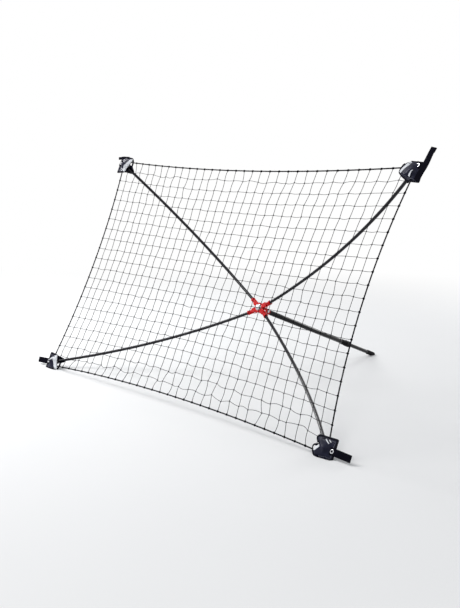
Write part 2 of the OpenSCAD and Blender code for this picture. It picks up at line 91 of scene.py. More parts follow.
def resample(points: Array, count: int) -> Array:
    """The same path with count points at equal steps along it.

    Args:
        points: (n, dims), in order.
        count: how many to make.

    Returns:
        (count, dims), ends included.
    """
    run = run_length(points)
    want = np.linspace(0.0, run[-1], count)
    return np.stack([np.interp(want, run, points[:, k]) for k in range(points.shape[1])], axis=1)


@dataclass
class Skin:
    """Four-sided faces on shared points.

    points is (n, 3) in metres, faces is (m, 4) and pattern is (m, 4, 2): the flat place of each
    face corner on the piece's surface, in metres, which finishes read as their UV map.
    """

    points: Array
    faces: Array
    pattern: Array

    def __add__(self, other: "Skin") -> "Skin":
        """Both skins in one.

        Args:
            other: the skin that follows.

        Returns:
            A skin with the faces of both.
        """
        return Skin(
            np.concatenate([self.points, other.points]),
            np.concatenate([self.faces, other.faces + len(self.points)]),
            np.concatenate([self.pattern, other.pattern]),
        )

    def moved(self, change: Callable[[Array], Array]) -> "Skin":
        """The skin with every point put through change."""
        return Skin(change(self.points), self.faces, self.pattern)


def joined(skins: Sequence[Skin]) -> Skin:
    """All of the skins in one."""
    return sum(skins[1:], skins[0])


def grid_skin(
    points: Array,
    along: Array,
    across: Array,
    close_rows: bool = False,
    close_cols: bool = False,
) -> Skin:
    """Faces between neighbours on one or more grids of points.

    Args:
        points: (rows, cols, 3), or (copies, rows, cols, 3).
        along: pattern coordinate of each row, with one more where the rows close.
        across: pattern coordinate of each column, with one more where the columns close.
        close_rows: whether the last row joins the first.
        close_cols: whether the last column joins the first.

    Returns:
        The skin. Face (r, c) joins the points (r, c), (r, c+1), (r+1, c+1) and (r+1, c).
    """
    if points.ndim == 3:
        points = points[None]
    copies, rows, cols = points.shape[:3]
    r, c = np.meshgrid(
        np.arange(rows - 1 + close_rows), np.arange(cols - 1 + close_cols), indexing="ij"
    )
    r, c = r.ravel(), c.ravel()
    rr = np.stack([r, r, r + 1, r + 1], axis=1)
    cc = np.stack([c, c + 1, c + 1, c], axis=1)
    one = (rr % rows) * cols + cc % cols
    faces = (one[None] + (np.arange(copies) * rows * cols)[:, None, None]).reshape(-1, 4)
    pattern = np.stack([np.asarray(along)[rr], np.asarray(across)[cc]], axis=-1)
    return Skin(points.reshape(-1, 3), faces, np.tile(pattern, (copies, 1, 1)))


def slab_skin(front: Array, back: Array, along: Array, across: Array) -> Skin:
    """A closed slab between two grids of points.

    Both grids are (rows, cols, 3). The rim is one strip that runs round the border from the
    front grid to the back one.

    Args:
        front: (rows, cols, 3).
        back: (rows, cols, 3), behind the front one.
        along: pattern coordinate of each row.
        across: pattern coordinate of each column.

    Returns:
        The closed skin.
    """
    rows, cols = front.shape[:2]
    edge = np.concatenate(
        [
            np.stack([np.zeros(cols - 1, int), np.arange(cols - 1)], axis=1),
            np.stack([np.arange(rows - 1), np.full(rows - 1, cols - 1)], axis=1),
            np.stack([np.full(cols - 1, rows - 1), np.arange(cols - 1, 0, -1)], axis=1),
            np.stack([np.arange(rows - 1, 0, -1), np.zeros(rows - 1, int)], axis=1),
        ]
    )
    skin = grid_skin(front, along, across) + grid_skin(back, along, across)
    flat = edge[:, 0] * cols + edge[:, 1]
    ahead = np.roll(flat, -1)
    shift = rows * cols
    rim = np.stack([flat, ahead, ahead + shift, flat + shift], axis=1)
    place = np.stack([np.asarray(along)[edge[:, 0]], np.asarray(across)[edge[:, 1]]], axis=-1)
    rim_pattern = np.stack([place, np.roll(place, -1, 0), np.roll(place, -1, 0), place], axis=1)
    return Skin(
        skin.points,
        np.concatenate([skin.faces, rim]),
        np.concatenate([skin.pattern, rim_pattern]),
    )


def swept_skin(paths: Array, section: Array, lead: Array) -> Skin:
    """A section carried along one or more paths.

    At each point the ring is path + x * side + y * lead', where lead' is lead made square to
    the path and side is the tangent crossed with lead'. The near end closes to the path's first
    point, and the far end is open.

    Args:
        paths: (points, 3) or (copies, points, 3).
        section: (sides, 2), or (points, sides, 2) where it changes along the path.
        lead: (3,) or an array that broadcasts against paths: the section's y direction.

    Returns:
        The skin, with its pattern running in metres along and round the tube.
    """
    if paths.ndim == 2:
        paths = paths[None]
    if section.ndim == 2:
        section = np.broadcast_to(section, (paths.shape[1], *section.shape))
    tangent = unit(np.gradient(paths, axis=1))
    lead = np.broadcast_to(lead, paths.shape)
    up = unit(lead - (lead * tangent).sum(-1, keepdims=True) * tangent)
    side = np.cross(tangent, up)
    rings = (
        paths[:, :, None]
        + section[None, :, :, 0, None] * side[:, :, None]
        + section[None, :, :, 1, None] * up[:, :, None]
    )
    near_end = np.repeat(paths[:, :1, None], section.shape[1], axis=2)
    rings = np.concatenate([near_end, rings], axis=1)
    run = np.concatenate([[0.0], run_length(paths[0])])
    ring = section[0]
    turn = np.linalg.norm(np.roll(ring, -1, 0) - ring, axis=1)
    around = np.concatenate([[0.0], np.cumsum(turn)])
    return grid_skin(rings, run, around, close_cols=True)


def round_section(radius: float, sides: int) -> Array:
    """A circle of that radius, as (sides, 2)."""
    turn = np.arange(sides) * 2 * math.pi / sides
    return radius * np.stack([np.cos(turn), np.sin(turn)], axis=1)


def flat_section(half_width: float, half_height: float, sides: int = 16) -> Array:
    """A rounded strap section: x = a*sgn(cos)*|cos|^0.35 and y = b*sgn(sin)*|sin|^0.8.

    Args:
        half_width: a, half the width.
        half_height: b, half the height.
        sides: how many points.

    Returns:
        (sides, 2).
    """
    turn = (np.arange(sides) + 0.5) * 2 * math.pi / sides
    c, s = np.cos(turn), np.sin(turn)
    return np.stack(
        [half_width * np.sign(c) * abs(c) ** 0.35, half_height * np.sign(s) * abs(s) ** 0.8],
        axis=1,
    )


def eased_profile(profile: Sequence[tuple[float, float]], cut: float, steps: int = 4) -> Array:
    """A line of corners with each corner rounded.

    Each corner P becomes the quadratic curve from P + cut * (towards the last corner) to
    P + cut * (towards the next), with cut held under 0.45 of either side.

    Args:
        profile: the corners, in order.
        cut: how far from its corner a curve starts.
        steps: points on each curve.

    Returns:
        (points, 2), with the first and last corner as they were.
    """
    p = np.asarray(profile, float)
    back, ahead = p[:-2] - p[1:-1], p[2:] - p[1:-1]
    near = np.minimum(cut, 0.45 * np.linalg.norm(back, axis=1))[:, None]
    far = np.minimum(cut, 0.45 * np.linalg.norm(ahead, axis=1))[:, None]
    a, c = p[1:-1] + near * unit(back), p[1:-1] + far * unit(ahead)
    t = np.linspace(0.0, 1.0, steps)[None, :, None]
    arcs = (1 - t) ** 2 * a[:, None] + 2 * t * (1 - t) * p[1:-1, None] + t**2 * c[:, None]
    return np.concatenate([p[:1], arcs.reshape(-1, 2), p[-1:]])


@dataclass(frozen=True)
class Place:
    """A corner to measure from, with three square directions."""

    origin: Array
    x: Array
    y: Array
    z: Array

    def at(self, x: Any, y: Any, z: Any) -> Array:
        """Points in the shared frame from coordinates measured here."""
        x, y, z = np.broadcast_arrays(x, y, z)
        return self.origin + x[..., None] * self.x + y[..., None] * self.y + z[..., None] * self.z

    def turned(
        self,
        profile: Array,
        sides: int = 48,
        radius_of: Optional[Callable[[Array, Array, Array], Array]] = None,
        loop: bool = False,
    ) -> Skin:
        """A profile turned round z.

        Args:
            profile: (rows, 2), each a radius and a height along z.
            sides: steps round.
            radius_of: changes the radius, from the radius, the angle and the height.
            loop: whether the profile's end joins its start.

        Returns:
            The skin with points at (r cos a, r sin a, h).
        """
        angle = np.arange(sides) * 2 * math.pi / sides
        r, h, a = np.broadcast_arrays(profile[:, :1], profile[:, 1:], angle[None, :])
        if radius_of is not None:
            r = radius_of(r, a, h)
        run = run_length(profile)
        if loop:
            run = np.append(run, run[-1] + np.linalg.norm(profile[0] - profile[-1]))
        around = np.linspace(0.0, 2 * math.pi * float(profile[:, 0].max()), sides + 1)
        points = self.at(r * np.cos(a), r * np.sin(a), h)
        return grid_skin(points, run, around, close_rows=loop, close_cols=True)


def bead_skin(middles: Array, ahead: Array, lead: Array, half: tuple[float, float, float]) -> Skin:
    """A small rounded bead at each point: an ellipsoid half[0] long, half[1] wide, half[2] high.

    Args:
        middles: (n, 3).
        ahead: (n, 3), each bead's long direction.
        lead: the height's direction, made square to ahead.
        half: half the length, width and height.

    Returns:
        The beads' skin.
    """
    polar = np.linspace(0.0, math.pi, 6)[:, None]
    turn = (np.arange(6) * math.pi / 3)[None, :]
    ahead = unit(ahead)[:, None, None]
    lead = np.broadcast_to(lead, middles.shape)[:, None, None]
    lead = unit(lead - (lead * ahead).sum(-1, keepdims=True) * ahead)
    side = np.cross(ahead, lead)
    long, wide, high = (
        (half[0] * np.cos(polar) + 0 * turn)[None, ..., None],
        (half[1] * np.sin(polar) * np.cos(turn))[None, ..., None],
        (half[2] * np.sin(polar) * np.sin(turn))[None, ..., None],
    )
    rings = middles[:, None, None] + long * ahead + wide * side + high * lead
    across = np.linspace(0.0, 2 * math.pi * half[1], 7)
    return grid_skin(rings, np.linspace(0.0, 2 * half[0], 6), across, close_cols=True)


def stitch_skin(path: Array, lead: Array, pitch: float, length: float, thick: float) -> Skin:
    """A row of stitches along a path, one bead to each pitch.

    Args:
        path: (n, 3).
        lead: out of the cloth.
        pitch: from one stitch to the next.
        length: of a stitch.
        thick: of a stitch.

    Returns:
        The stitches' skin.
    """
    total = run_length(path)[-1]
    count = max(2, int(total / pitch))
    dots = resample(path, count + 1)
    middles, ahead = (dots[1:] + dots[:-1]) / 2, dots[1:] - dots[:-1]
    return bead_skin(middles, ahead, lead, (length / 2, thick / 2, thick / 2))


# ---- From surfaces to pieces ----


def placed(name: str, data: Any) -> Any:
    """A new object of that name, linked to the scene.

    Args:
        name: the object's name.
        data: its mesh, light or camera.

    Returns:
        The object, at the origin.
    """
    made = bpy.data.objects.new(name, data)
    bpy.context.scene.collection.objects.link(made)
    return made


def piece_from(name: str, skin: Skin, finish: "Finish", crease: float = 40.0) -> Any:
    """Makes one object of a skin, with its poles welded and its faces turned outwards.

    Args:
        name: the piece's name.
        skin: its surface.
        finish: what it is made of.
        crease: angle in degrees past which an edge stays sharp.

    Returns:
        The object, at the origin.
    """
    mesh = bpy.data.meshes.new(name)
    corners = skin.faces.size
    mesh.vertices.add(len(skin.points))
    mesh.vertices.foreach_set("co", skin.points.astype(np.float32).ravel())
    mesh.loops.add(corners)
    mesh.loops.foreach_set("vertex_index", skin.faces.astype(np.int32).ravel())
    mesh.polygons.add(len(skin.faces))
    mesh.polygons.foreach_set("loop_start", np.arange(0, corners, 4, dtype=np.int32))
    layer = mesh.uv_layers.new(name="pattern")
    layer.data.foreach_set("uv", skin.pattern.astype(np.float32).ravel())
    mesh.update(calc_edges=True)
    tidy_mesh(mesh, crease)
    piece = placed(name, mesh)
    mesh.materials.append(finish.material())
    log.info("%s: %d faces", name, len(mesh.polygons))
    return piece


def tidy_mesh(mesh: Any, crease: float) -> None:
    """Welds coincident points, turns faces outwards and marks edges past crease as sharp.

    Args:
        mesh: changed in place.
        crease: angle in degrees.
    """
    work = bmesh.new()
    work.from_mesh(mesh)
    bmesh.ops.remove_doubles(work, verts=work.verts, dist=WELD)
    bmesh.ops.dissolve_degenerate(work, edges=work.edges, dist=1e-7)
    bmesh.ops.recalc_face_normals(work, faces=work.faces)
    shade(work, mesh, math.radians(crease))


def shade(work: Any, mesh: Any, limit: float) -> None:
    """Shades faces smooth but for edges past the limit, and puts the work into the mesh.

    Args:
        work: the mesh under work, which is freed.
        mesh: takes the result.
        limit: angle in radians past which an edge stays sharp.
    """
    for edge in work.edges:
        edge.smooth = len(edge.link_faces) == 2 and edge.calc_face_angle(0.0) < limit
    for face in work.faces:
        face.smooth = True
    work.to_mesh(mesh)
    work.free()


def softened_copy(name: str, node: str, finish: "Finish", round_by: float) -> Any:
    """A copy of a CAD node's shape with its edges rounded, which stands for the node.

    The copy's points are merged and its flat triangles joined, and a Bevel rounds what is left.

    Args:
        name: the piece's name.
        node: the CAD node that it copies.
        finish: what it is made of.
        round_by: width of the rounding.

    Returns:
        The object, at the origin.
    """
    mesh = frame["nodes"][node].data.copy()
    mesh.name = name
    work = bmesh.new()
    work.from_mesh(mesh)
    bmesh.ops.remove_doubles(work, verts=work.verts, dist=WELD)
    bmesh.ops.dissolve_limit(
        work,
        angle_limit=math.radians(1.0),
        verts=work.verts,
        edges=work.edges,
        delimit={"NORMAL"},
    )
    limit = math.radians(32.0)
    shade(work, mesh, limit)
    mesh.materials.clear()
    mesh.materials.append(finish.material())
    piece = placed(name, mesh)
    bevel = piece.modifiers.new("rounded", "BEVEL")
    bevel.width = round_by
    bevel.segments = 3
    bevel.limit_method = "ANGLE"
    bevel.angle_limit = limit
    bevel.harden_normals = True
    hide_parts(node)
    log.info("%s: %d faces, edges rounded", name, len(mesh.polygons))
    return piece


# ---- Shaders ----


class Wire:
    """A number in a shader, on which the usual operators add Math nodes."""

    def __init__(self, board: "Board", socket: Any) -> None:
        """Wraps one output socket of board."""
        self.board = board
        self.socket = socket

    def math(self, operation: str, *values: Any) -> "Wire":
        """A Math node's result on these values.

        Args:
            operation: the node's operation.
            *values: wires or numbers, in the node's order.

        Returns:
            The result.
        """
        settings = {"operation": operation}
        node = self.board.node("ShaderNodeMath", settings, dict(enumerate(values)))
        return Wire(self.board, node.outputs[0])

    def __add__(self, other: Any) -> "Wire":
        """self + other."""
        return self.math("ADD", self, other)

    def __radd__(self, other: Any) -> "Wire":
        """other + self."""
        return self.math("ADD", other, self)

    def __sub__(self, other: Any) -> "Wire":
        """self - other."""
        return self.math("SUBTRACT", self, other)

    def __rsub__(self, other: Any) -> "Wire":
        """other - self."""
        return self.math("SUBTRACT", other, self)

    def __mul__(self, other: Any) -> "Wire":
        """self * other."""
        return self.math("MULTIPLY", self, other)

    def __rmul__(self, other: Any) -> "Wire":
        """other * self."""
        return self.math("MULTIPLY", other, self)

    def __pow__(self, other: Any) -> "Wire":
        """self ** other."""
        return self.math("POWER", self, other)

    def sine(self) -> "Wire":
        """The sine of self."""
        return self.math("SINE", self)

    def size(self) -> "Wire":
        """The absolute value of self."""
        return self.math("ABSOLUTE", self)

    def step(self, low: float, high: float) -> "Wire":
        """0 below low, 1 above high and smooth between.

        Args:
            low: where the step starts.
            high: where it ends.

        Returns:
            The step.
        """
        node = self.board.node(
            "ShaderNodeMapRange",
            {"interpolation_type": "SMOOTHSTEP"},
            {0: self, 1: low, 2: high, 3: 0.0, 4: 1.0},
        )
        return Wire(self.board, node.outputs[0])


class Board:
    """A node tree under construction."""

    def __init__(self, tree: Any) -> None:
        """Empties the tree."""
        self.tree = tree
        self.tree.nodes.clear()

    def feed(self, target: Any, value: Any) -> None:
        """Gives an input socket a link or a value.

        Args:
            target: the input socket.
            value: a Wire, an output socket, or what the input holds by itself.
        """
        if isinstance(value, Wire):
            value = value.socket
        if isinstance(value, bpy.types.NodeSocket):
            self.tree.links.new(value, target)
        else:
            target.default_value = value

    def node(self, kind: str, settings: dict[str, Any], values: dict[Any, Any]) -> Any:
        """Adds a node.

        Args:
            kind: the node's type.
            settings: its own properties, set first.
            values: numbers, colours or links for its sockets, by name or position.

        Returns:
            The node.
        """
        made = self.tree.nodes.new(kind)
        for key, value in settings.items():
            setattr(made, key, value)
        for key, value in values.items():
            self.feed(made.inputs[key], value)
        return made

    def looked_at(self) -> Wire:
        """1 to the eye, in reflections and through glass, and 0 to other rays.

        Returns:
            The share.
        """
        path = self.node("ShaderNodeLightPath", {}, {})
        seen = Wire(self, path.outputs["Is Camera Ray"])
        for kind in ("Is Glossy Ray", "Is Transmission Ray"):
            seen = seen.math("MAXIMUM", seen, Wire(self, path.outputs[kind]))
        return seen


class Sheet(Board):
    """One material under construction, with a Principled surface."""

    def __init__(self, name: str) -> None:
        """Starts an empty material of that name.

        Args:
            name: the material's name.
        """
        self.result = bpy.data.materials.new(name)
        self.result.use_nodes = True
        super().__init__(self.result.node_tree)
        self.surface = self.node("ShaderNodeBsdfPrincipled", {}, {})
        self.end = self.node(
            "ShaderNodeOutputMaterial", {}, {"Surface": self.surface.outputs["BSDF"]}
        )

    def object_place(self) -> Any:
        """The piece's own coordinates, in metres."""
        return self.node("ShaderNodeTexCoord", {}, {}).outputs["Object"]

    def pattern_place(self) -> Any:
        """The piece's pattern map, in metres along and across its surface."""
        return self.node("ShaderNodeUVMap", {"uv_map": "pattern"}, {}).outputs["UV"]

    def parts(self, vector: Any) -> tuple[Wire, Wire, Wire]:
        """The three numbers of a vector."""
        split = self.node("ShaderNodeSeparateXYZ", {}, {0: vector})
        return tuple(Wire(self, split.outputs[k]) for k in range(3))

    def stretched(self, vector: Any, scale: tuple[float, float, float]) -> Any:
        """The vector with each part scaled."""
        return self.node("ShaderNodeMapping", {}, {"Vector": vector, "Scale": scale}).outputs[0]

    def noise(self, place: Any, per_metre: float, detail: float = 3.0, rough: float = 0.5) -> Wire:
        """Cloudy noise from 0 to 1.

        Args:
            place: coordinates in metres.
            per_metre: clouds to a metre.
            detail: how many finer layers.
            rough: strength of the finer layers.

        Returns:
            The noise.
        """
        made = self.node(
            "ShaderNodeTexNoise",
            {},
            {"Vector": place, "Scale": per_metre, "Detail": detail, "Roughness": rough},
        )
        return Wire(self, made.outputs[0])

    def cells(self, place: Any, per_metre: float) -> Wire:
        """Distance to the nearest of scattered points."""
        made = self.node("ShaderNodeTexVoronoi", {}, {"Vector": place, "Scale": per_metre})
        return Wire(self, made.outputs["Distance"])

    def mixed(self, a: Any, b: Any, share: Any) -> Any:
        """Colour a at share 0 and b at share 1.

        Args:
            a: a colour or a colour's socket.
            b: the other one.
            share: of b.

        Returns:
            The mixed colour's socket.
        """
        a, b = (v if isinstance(v, bpy.types.NodeSocket) else (*v, 1.0) for v in (a, b))
        made = self.node(
            "ShaderNodeMix", {"data_type": "RGBA", "clamp_factor": True}, {0: share, 6: a, 7: b}
        )
        return made.outputs[2]

    def relief(self, height: Any, depth: float, under: Any = None) -> Any:
        """A bumped normal from a height from 0 to 1, depth metres deep.

        Args:
            height: from 0 to 1.
            depth: in metres.
            under: a normal that this one is added to.

        Returns:
            The normal's socket.
        """
        values = {"Height": height, "Distance": depth, "Strength": 1.0}
        if under is not None:
            values["Normal"] = under
        return self.node("ShaderNodeBump", {}, values).outputs["Normal"]

    def finish(self, **sockets: Any) -> Any:
        """Sets the surface's sockets by name, with _ for a space, and returns the material.

        Args:
            **sockets: a value, wire or socket for each.

        Returns:
            The material.
        """
        for key, value in sockets.items():
            self.feed(self.surface.inputs[key.replace("_", " ")], value)
        return self.result


@dataclass(frozen=True)
class Finish:
    """What a piece is made of. Each kind writes its own material once."""

    name: str

    def material(self) -> Any:
        """The material, made the first time it is asked for."""
        return bpy.data.materials.get(self.name) or self.make(Sheet(self.name))

    def make(self, sheet: Sheet) -> Any:
        """Writes the material on an empty sheet."""
        raise NotImplementedError


@dataclass(frozen=True)
class Moulding(Finish):
    """Moulded plastic: flow clouds, a fine grain and rubbed patches."""

    colour: Colour
    deep: Colour
    rough: float = 0.3
    grain: float = 0.00004
    coat: float = 0.0
    shine: float = 0.4

    def make(self, sheet: Sheet) -> Any:
        """Clouds shift the colour; rubbed patches change the gloss; a fine grain dents it.

        Args:
            sheet: what to write it on.

        Returns:
            The material.
        """
        place = sheet.object_place()
        cloud = sheet.noise(place, 55.0, 4.0, 0.55)
        rub = sheet.noise(place, 210.0, 5.0, 0.65).step(0.45, 0.7)
        speck = sheet.noise(place, 2600.0, 2.0, 0.5)
        tone = sheet.mixed(self.colour, self.deep, cloud.step(0.3, 0.75))
        pale = tuple(min(1.0, c * 1.25 + 0.006) for c in self.colour)
        return sheet.finish(
            Base_Color=sheet.mixed(tone, pale, rub * 0.35),
            Roughness=self.rough + rub * 0.12 + speck * 0.05,
            Normal=sheet.relief(speck, self.grain),
            Coat_Weight=self.coat,
            Coat_Roughness=0.08,
            Specular_IOR_Level=self.shine,
            IOR=1.5,
        )


@dataclass(frozen=True)
class Lacquer(Finish):
    """Dark gloss lacquer on a rod or tube, with faint lengthwise streaks and scuffs."""

    colour: Colour
    streak: Colour
    rough: float = 0.16
    shine: float = 0.3

    def make(self, sheet: Sheet) -> Any:
        """Streaks come from noise drawn out along the rod; scuffs dull the gloss in patches.

        Args:
            sheet: what to write it on.

        Returns:
            The material.
        """
        place = sheet.pattern_place()
        drawn = sheet.stretched(place, (6.0, 900.0, 1.0))
        fibre = sheet.noise(drawn, 1.0, 4.0, 0.6)
        scuff = sheet.noise(sheet.stretched(place, (30.0, 120.0, 1.0)), 1.0, 5.0, 0.7)
        worn = scuff.step(0.58, 0.78)
        tone = sheet.mixed(self.colour, self.streak, fibre.step(0.35, 0.75) * 0.6)
        peel = sheet.noise(sheet.object_place(), 420.0, 2.0, 0.4)
        return sheet.finish(
            Base_Color=sheet.mixed(tone, (0.03, 0.03, 0.035), worn * 0.3),
            Roughness=self.rough + worn * 0.2 + fibre * 0.05,
            Normal=sheet.relief(peel * 0.8 + fibre * 0.2, 0.000006),
            Coat_Weight=0.16,
            Coat_Roughness=0.06,
            Specular_IOR_Level=self.shine,
            IOR=1.5,
        )


@dataclass(frozen=True)
class Plated(Finish):
    """Plated steel: bright, finely brushed, with a few dull specks."""

    colour: Colour
    rough: float = 0.22
    brush: float = 0.00002

    def make(self, sheet: Sheet) -> Any:
        """Brush marks are drawn-out noise; specks of dull plating roughen it.

        Args:
            sheet: what to write it on.

        Returns:
            The material.
        """
        place = sheet.object_place()
        brush = sheet.noise(sheet.stretched(place, (400.0, 400.0, 5200.0)), 1.0, 3.0, 0.6)
        speck = sheet.cells(place, 900.0).step(0.05, 0.3)
        cloud = sheet.noise(place, 160.0, 4.0, 0.6)
        dull = tuple(c * 0.72 for c in self.colour)
        return sheet.finish(
            Base_Color=sheet.mixed(dull, self.colour, speck * 0.6 + cloud * 0.5),
            Metallic=1.0,
            Roughness=self.rough + brush * 0.1 + (1.0 - speck) * 0.15,
            Normal=sheet.relief(brush, self.brush),
        )


@dataclass(frozen=True)
class Weave(Finish):
    """Woven cloth: threads over and under, with painted shade between them, soft creases and faded
    high spots.
    """

    colour: Colour
    faded: Colour
    thread: float = 0.0009
    relief: float = 0.00012
    rough: float = 0.62
    ribs: bool = False
    crease: float = 0.0006
    coat: float = 0.0
    shine: float = 0.25

    def make(self, sheet: Sheet) -> Any:
        """Thread height is |sin| along by |sin| across, offset every other thread. Low threads are
        painted darker, as shade.

        Args:
            sheet: what to write it on.

        Returns:
            The material.
        """
        place = sheet.pattern_place()
        u, v, _ = sheet.parts(place)
        per = math.pi / self.thread
        warp, weft = (u * per).sine(), (v * per).sine()
        if self.ribs:
            height = (weft.size() ** 0.6) * (0.75 + (u * per * 0.5 + v * per).sine().size() * 0.25)
        else:
            height = (warp * weft + 1.0) * 0.5 + (warp.size() + weft.size()) * 0.2
        here = sheet.object_place()
        cloud = sheet.noise(here, 38.0, 5.0, 0.6)
        fuzz = sheet.noise(here, 3000.0, 2.0, 0.6)
        fold = sheet.noise(here, 70.0, 3.0, 0.5)
        tone = sheet.mixed(self.colour, self.faded, cloud.step(0.35, 0.8) * 0.7 + fuzz * 0.3)
        # painted shade: 0.45 of the colour where the threads lie low
        dark = tuple(c * 0.45 for c in self.colour)
        soft = sheet.relief(fold, self.crease)
        return sheet.finish(
            Base_Color=sheet.mixed(dark, tone, height.step(0.05, 0.75)),
            Roughness=self.rough + cloud * 0.15,
            Normal=sheet.relief(height + fuzz * 0.3, self.relief, soft),
            Coat_Weight=self.coat,
            Coat_Roughness=0.3,
            Specular_IOR_Level=self.shine,
        )


@dataclass(frozen=True)
class Strand(Finish):
    """Twisted fibre: fine slanted filaments along a rope or twine, with painted shade in the
    grooves between them, a little dusty.
    """

    colour: Colour
    pale: Colour
    filament: float = 0.0006
    slant: float = 0.5

    def make(self, sheet: Sheet) -> Any:
        """Filament height is |sin| of a place that slants round as it runs along. The grooves
        between filaments are painted darker, as shade.

        Args:
            sheet: what to write it on.

        Returns:
            The material.
        """
        u, v, _ = sheet.parts(sheet.pattern_place())
        line = ((v + u * self.slant) * (math.pi / self.filament)).sine().size()
        here = sheet.object_place()
        cloud = sheet.noise(here, 24.0, 5.0, 0.7)
        fuzz = sheet.noise(here, 2200.0, 3.0, 0.7)
        tone = sheet.mixed(self.colour, self.pale, cloud.step(0.45, 0.85) * 0.5 + fuzz * 0.25)
        # painted shade: 0.4 of the colour in the grooves between filaments
        dark = tuple(c * 0.4 for c in self.colour)
        return sheet.finish(
            Base_Color=sheet.mixed(dark, tone, line.step(0.1, 0.7)),
            Roughness=0.6 + fuzz * 0.2,
            Normal=sheet.relief(line + fuzz * 0.3, 0.00015),
            Specular_IOR_Level=0.03,
        )


@dataclass(frozen=True)
class Rubber(Finish):
    """Matt rubber with a fine tooth and dust."""

    colour: Colour

    def make(self, sheet: Sheet) -> Any:
        """Dust lies in clouds; the tooth is fine noise.

        Args:
            sheet: what to write it on.

        Returns:
            The material.
        """
        here = sheet.object_place()
        dust = sheet.noise(here, 90.0, 5.0, 0.65).step(0.45, 0.8)
        tooth = sheet.noise(here, 1800.0, 3.0, 0.6)
        return sheet.finish(
            Base_Color=sheet.mixed(self.colour, (0.05, 0.047, 0.042), dust * 0.4),
            Roughness=0.7 + dust * 0.2,
            Normal=sheet.relief(tooth, 0.0001),
            Specular_IOR_Level=0.12,
        )


@dataclass(frozen=True)
class Ground(Finish):
    """The plain pale floor, which the eye and reflections see turn to plain white far out."""

    shade: float = 0.80
    near: float = 1.25
    far: float = 3.9

    def make(self, sheet: Sheet) -> Any:
        """Mixes a matt surface near the middle with plain white far out.

        Args:
            sheet: what to write it on.

        Returns:
            The material.
        """
        x, y, _ = sheet.parts(sheet.object_place())
        out = ((x * x + y * y) ** 0.5).step(self.near, self.far)
        light = sheet.node("ShaderNodeEmission", {}, {"Color": (1.0, 1.0, 1.0, 1.0)})
        share = sheet.node(
            "ShaderNodeMixShader",
            {},
            {0: out * sheet.looked_at(), 1: sheet.surface.outputs[0], 2: light.outputs[0]},
        )
        sheet.feed(sheet.end.inputs["Surface"], share.outputs[0])
        grain = sheet.noise(sheet.object_place(), 3.0, 2.0)
        return sheet.finish(
            Base_Color=sheet.mixed((self.shade,) * 3, (self.shade * 0.985,) * 3, grain),
            Roughness=0.9,
            Specular_IOR_Level=0.1,
        )


RED = Moulding(
    "red moulding", (0.56, 0.002, 0.005), (0.42, 0.001, 0.003), 0.2, coat=0.06, shine=0.16
)
# The hub's red made a little darker: painted shade on the leg bracket and the leg's head plug.
SHADED_RED = Moulding(
    "red moulding with painted shade", (0.52, 0.002, 0.005), (0.38, 0.001, 0.003), 0.24, coat=0.05, shine=0.14
)
BLACK = Moulding(
    "black moulding", (0.004, 0.004, 0.005), (0.003, 0.003, 0.003), 0.4, 0.00007, shine=0.06
)
NYLON = Moulding("natural nylon", (0.70, 0.67, 0.58), (0.60, 0.57, 0.48), 0.45)
POLE = Lacquer("pole lacquer", (0.002, 0.002, 0.005), (0.005, 0.004, 0.012), 0.12, 0.2)
LEG = Lacquer("leg paint", (0.001, 0.001, 0.002), (0.003, 0.003, 0.005), 0.14, 0.12)
ZINC = Plated("zinc plate", (0.62, 0.63, 0.65), 0.28)
BRIGHT = Plated("bright plate", (0.66, 0.67, 0.70), 0.14)
CLOTH = Weave(
    "pocket cloth",
    (0.006, 0.007, 0.020),
    (0.013, 0.014, 0.036),
    thread=0.0011,
    rough=0.4,
    coat=0.12,
    shine=0.08,
)
WEBBING = Weave(
    "black webbing",
    (0.006, 0.006, 0.010),
    (0.011, 0.010, 0.016),
    thread=0.0016,
    relief=0.0003,
    rough=0.8,
    ribs=True,
    shine=0.0,
)
# Pale binding for the pocket mouths, partly a painted highlight, and for the pale strips that are
# painted highlights.
PALE_TAPE_AND_HIGHLIGHT = Weave(
    "pale tape and painted highlight",
    (0.66, 0.68, 0.72),
    (0.80, 0.82, 0.85),
    thread=0.0010,
    relief=0.0001,
    rough=0.42,
    ribs=True,
    shine=0.3,
)
EDGING = Weave(
    "black edging",
    (0.008, 0.008, 0.013),
    (0.013, 0.013, 0.019),
    thread=0.0012,
    relief=0.0002,
    rough=0.7,
    ribs=True,
    shine=0.02,
)
THREAD = Strand("pale thread", (0.42, 0.43, 0.47), (0.60, 0.61, 0.64), 0.0003)
DARK_THREAD = Strand("dark thread", (0.010, 0.010, 0.015), (0.02, 0.02, 0.026), 0.0003)
TWINE = Strand("net twine", (0.007, 0.007, 0.009), (0.018, 0.018, 0.020), 0.0005)
ROPE = Strand("border rope", (0.008, 0.008, 0.011), (0.020, 0.020, 0.023), 0.0008)
FOOT = Rubber("foot rubber", (0.006, 0.006, 0.007))
FLOOR = Ground("pale floor")


# ---- The object's own places ----


class Corner(Enum):
    """A corner of the net: its name, its side (right is 1) and its level (top is 1)."""

    TOP_RIGHT = ("top_right", 1, 1)
    TOP_LEFT = ("top_left", -1, 1)
    BOTTOM_LEFT = ("bottom_left", -1, -1)
    BOTTOM_RIGHT = ("bottom_right", 1, -1)

    @property
    def label(self) -> str:
        """The corner's name, as its nodes end."""
        return self.value[0]

    @property
    def side(self) -> int:
        """1 on the right and -1 on the left."""
        return self.value[1]

    @property
    def level(self) -> int:
        """1 at the top and -1 at the bottom."""
        return self.value[2]


def joint(name: str) -> dict[str, Any]:
    """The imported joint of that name."""
    return next(j for j in frame["joints"] if j["name"] == name)


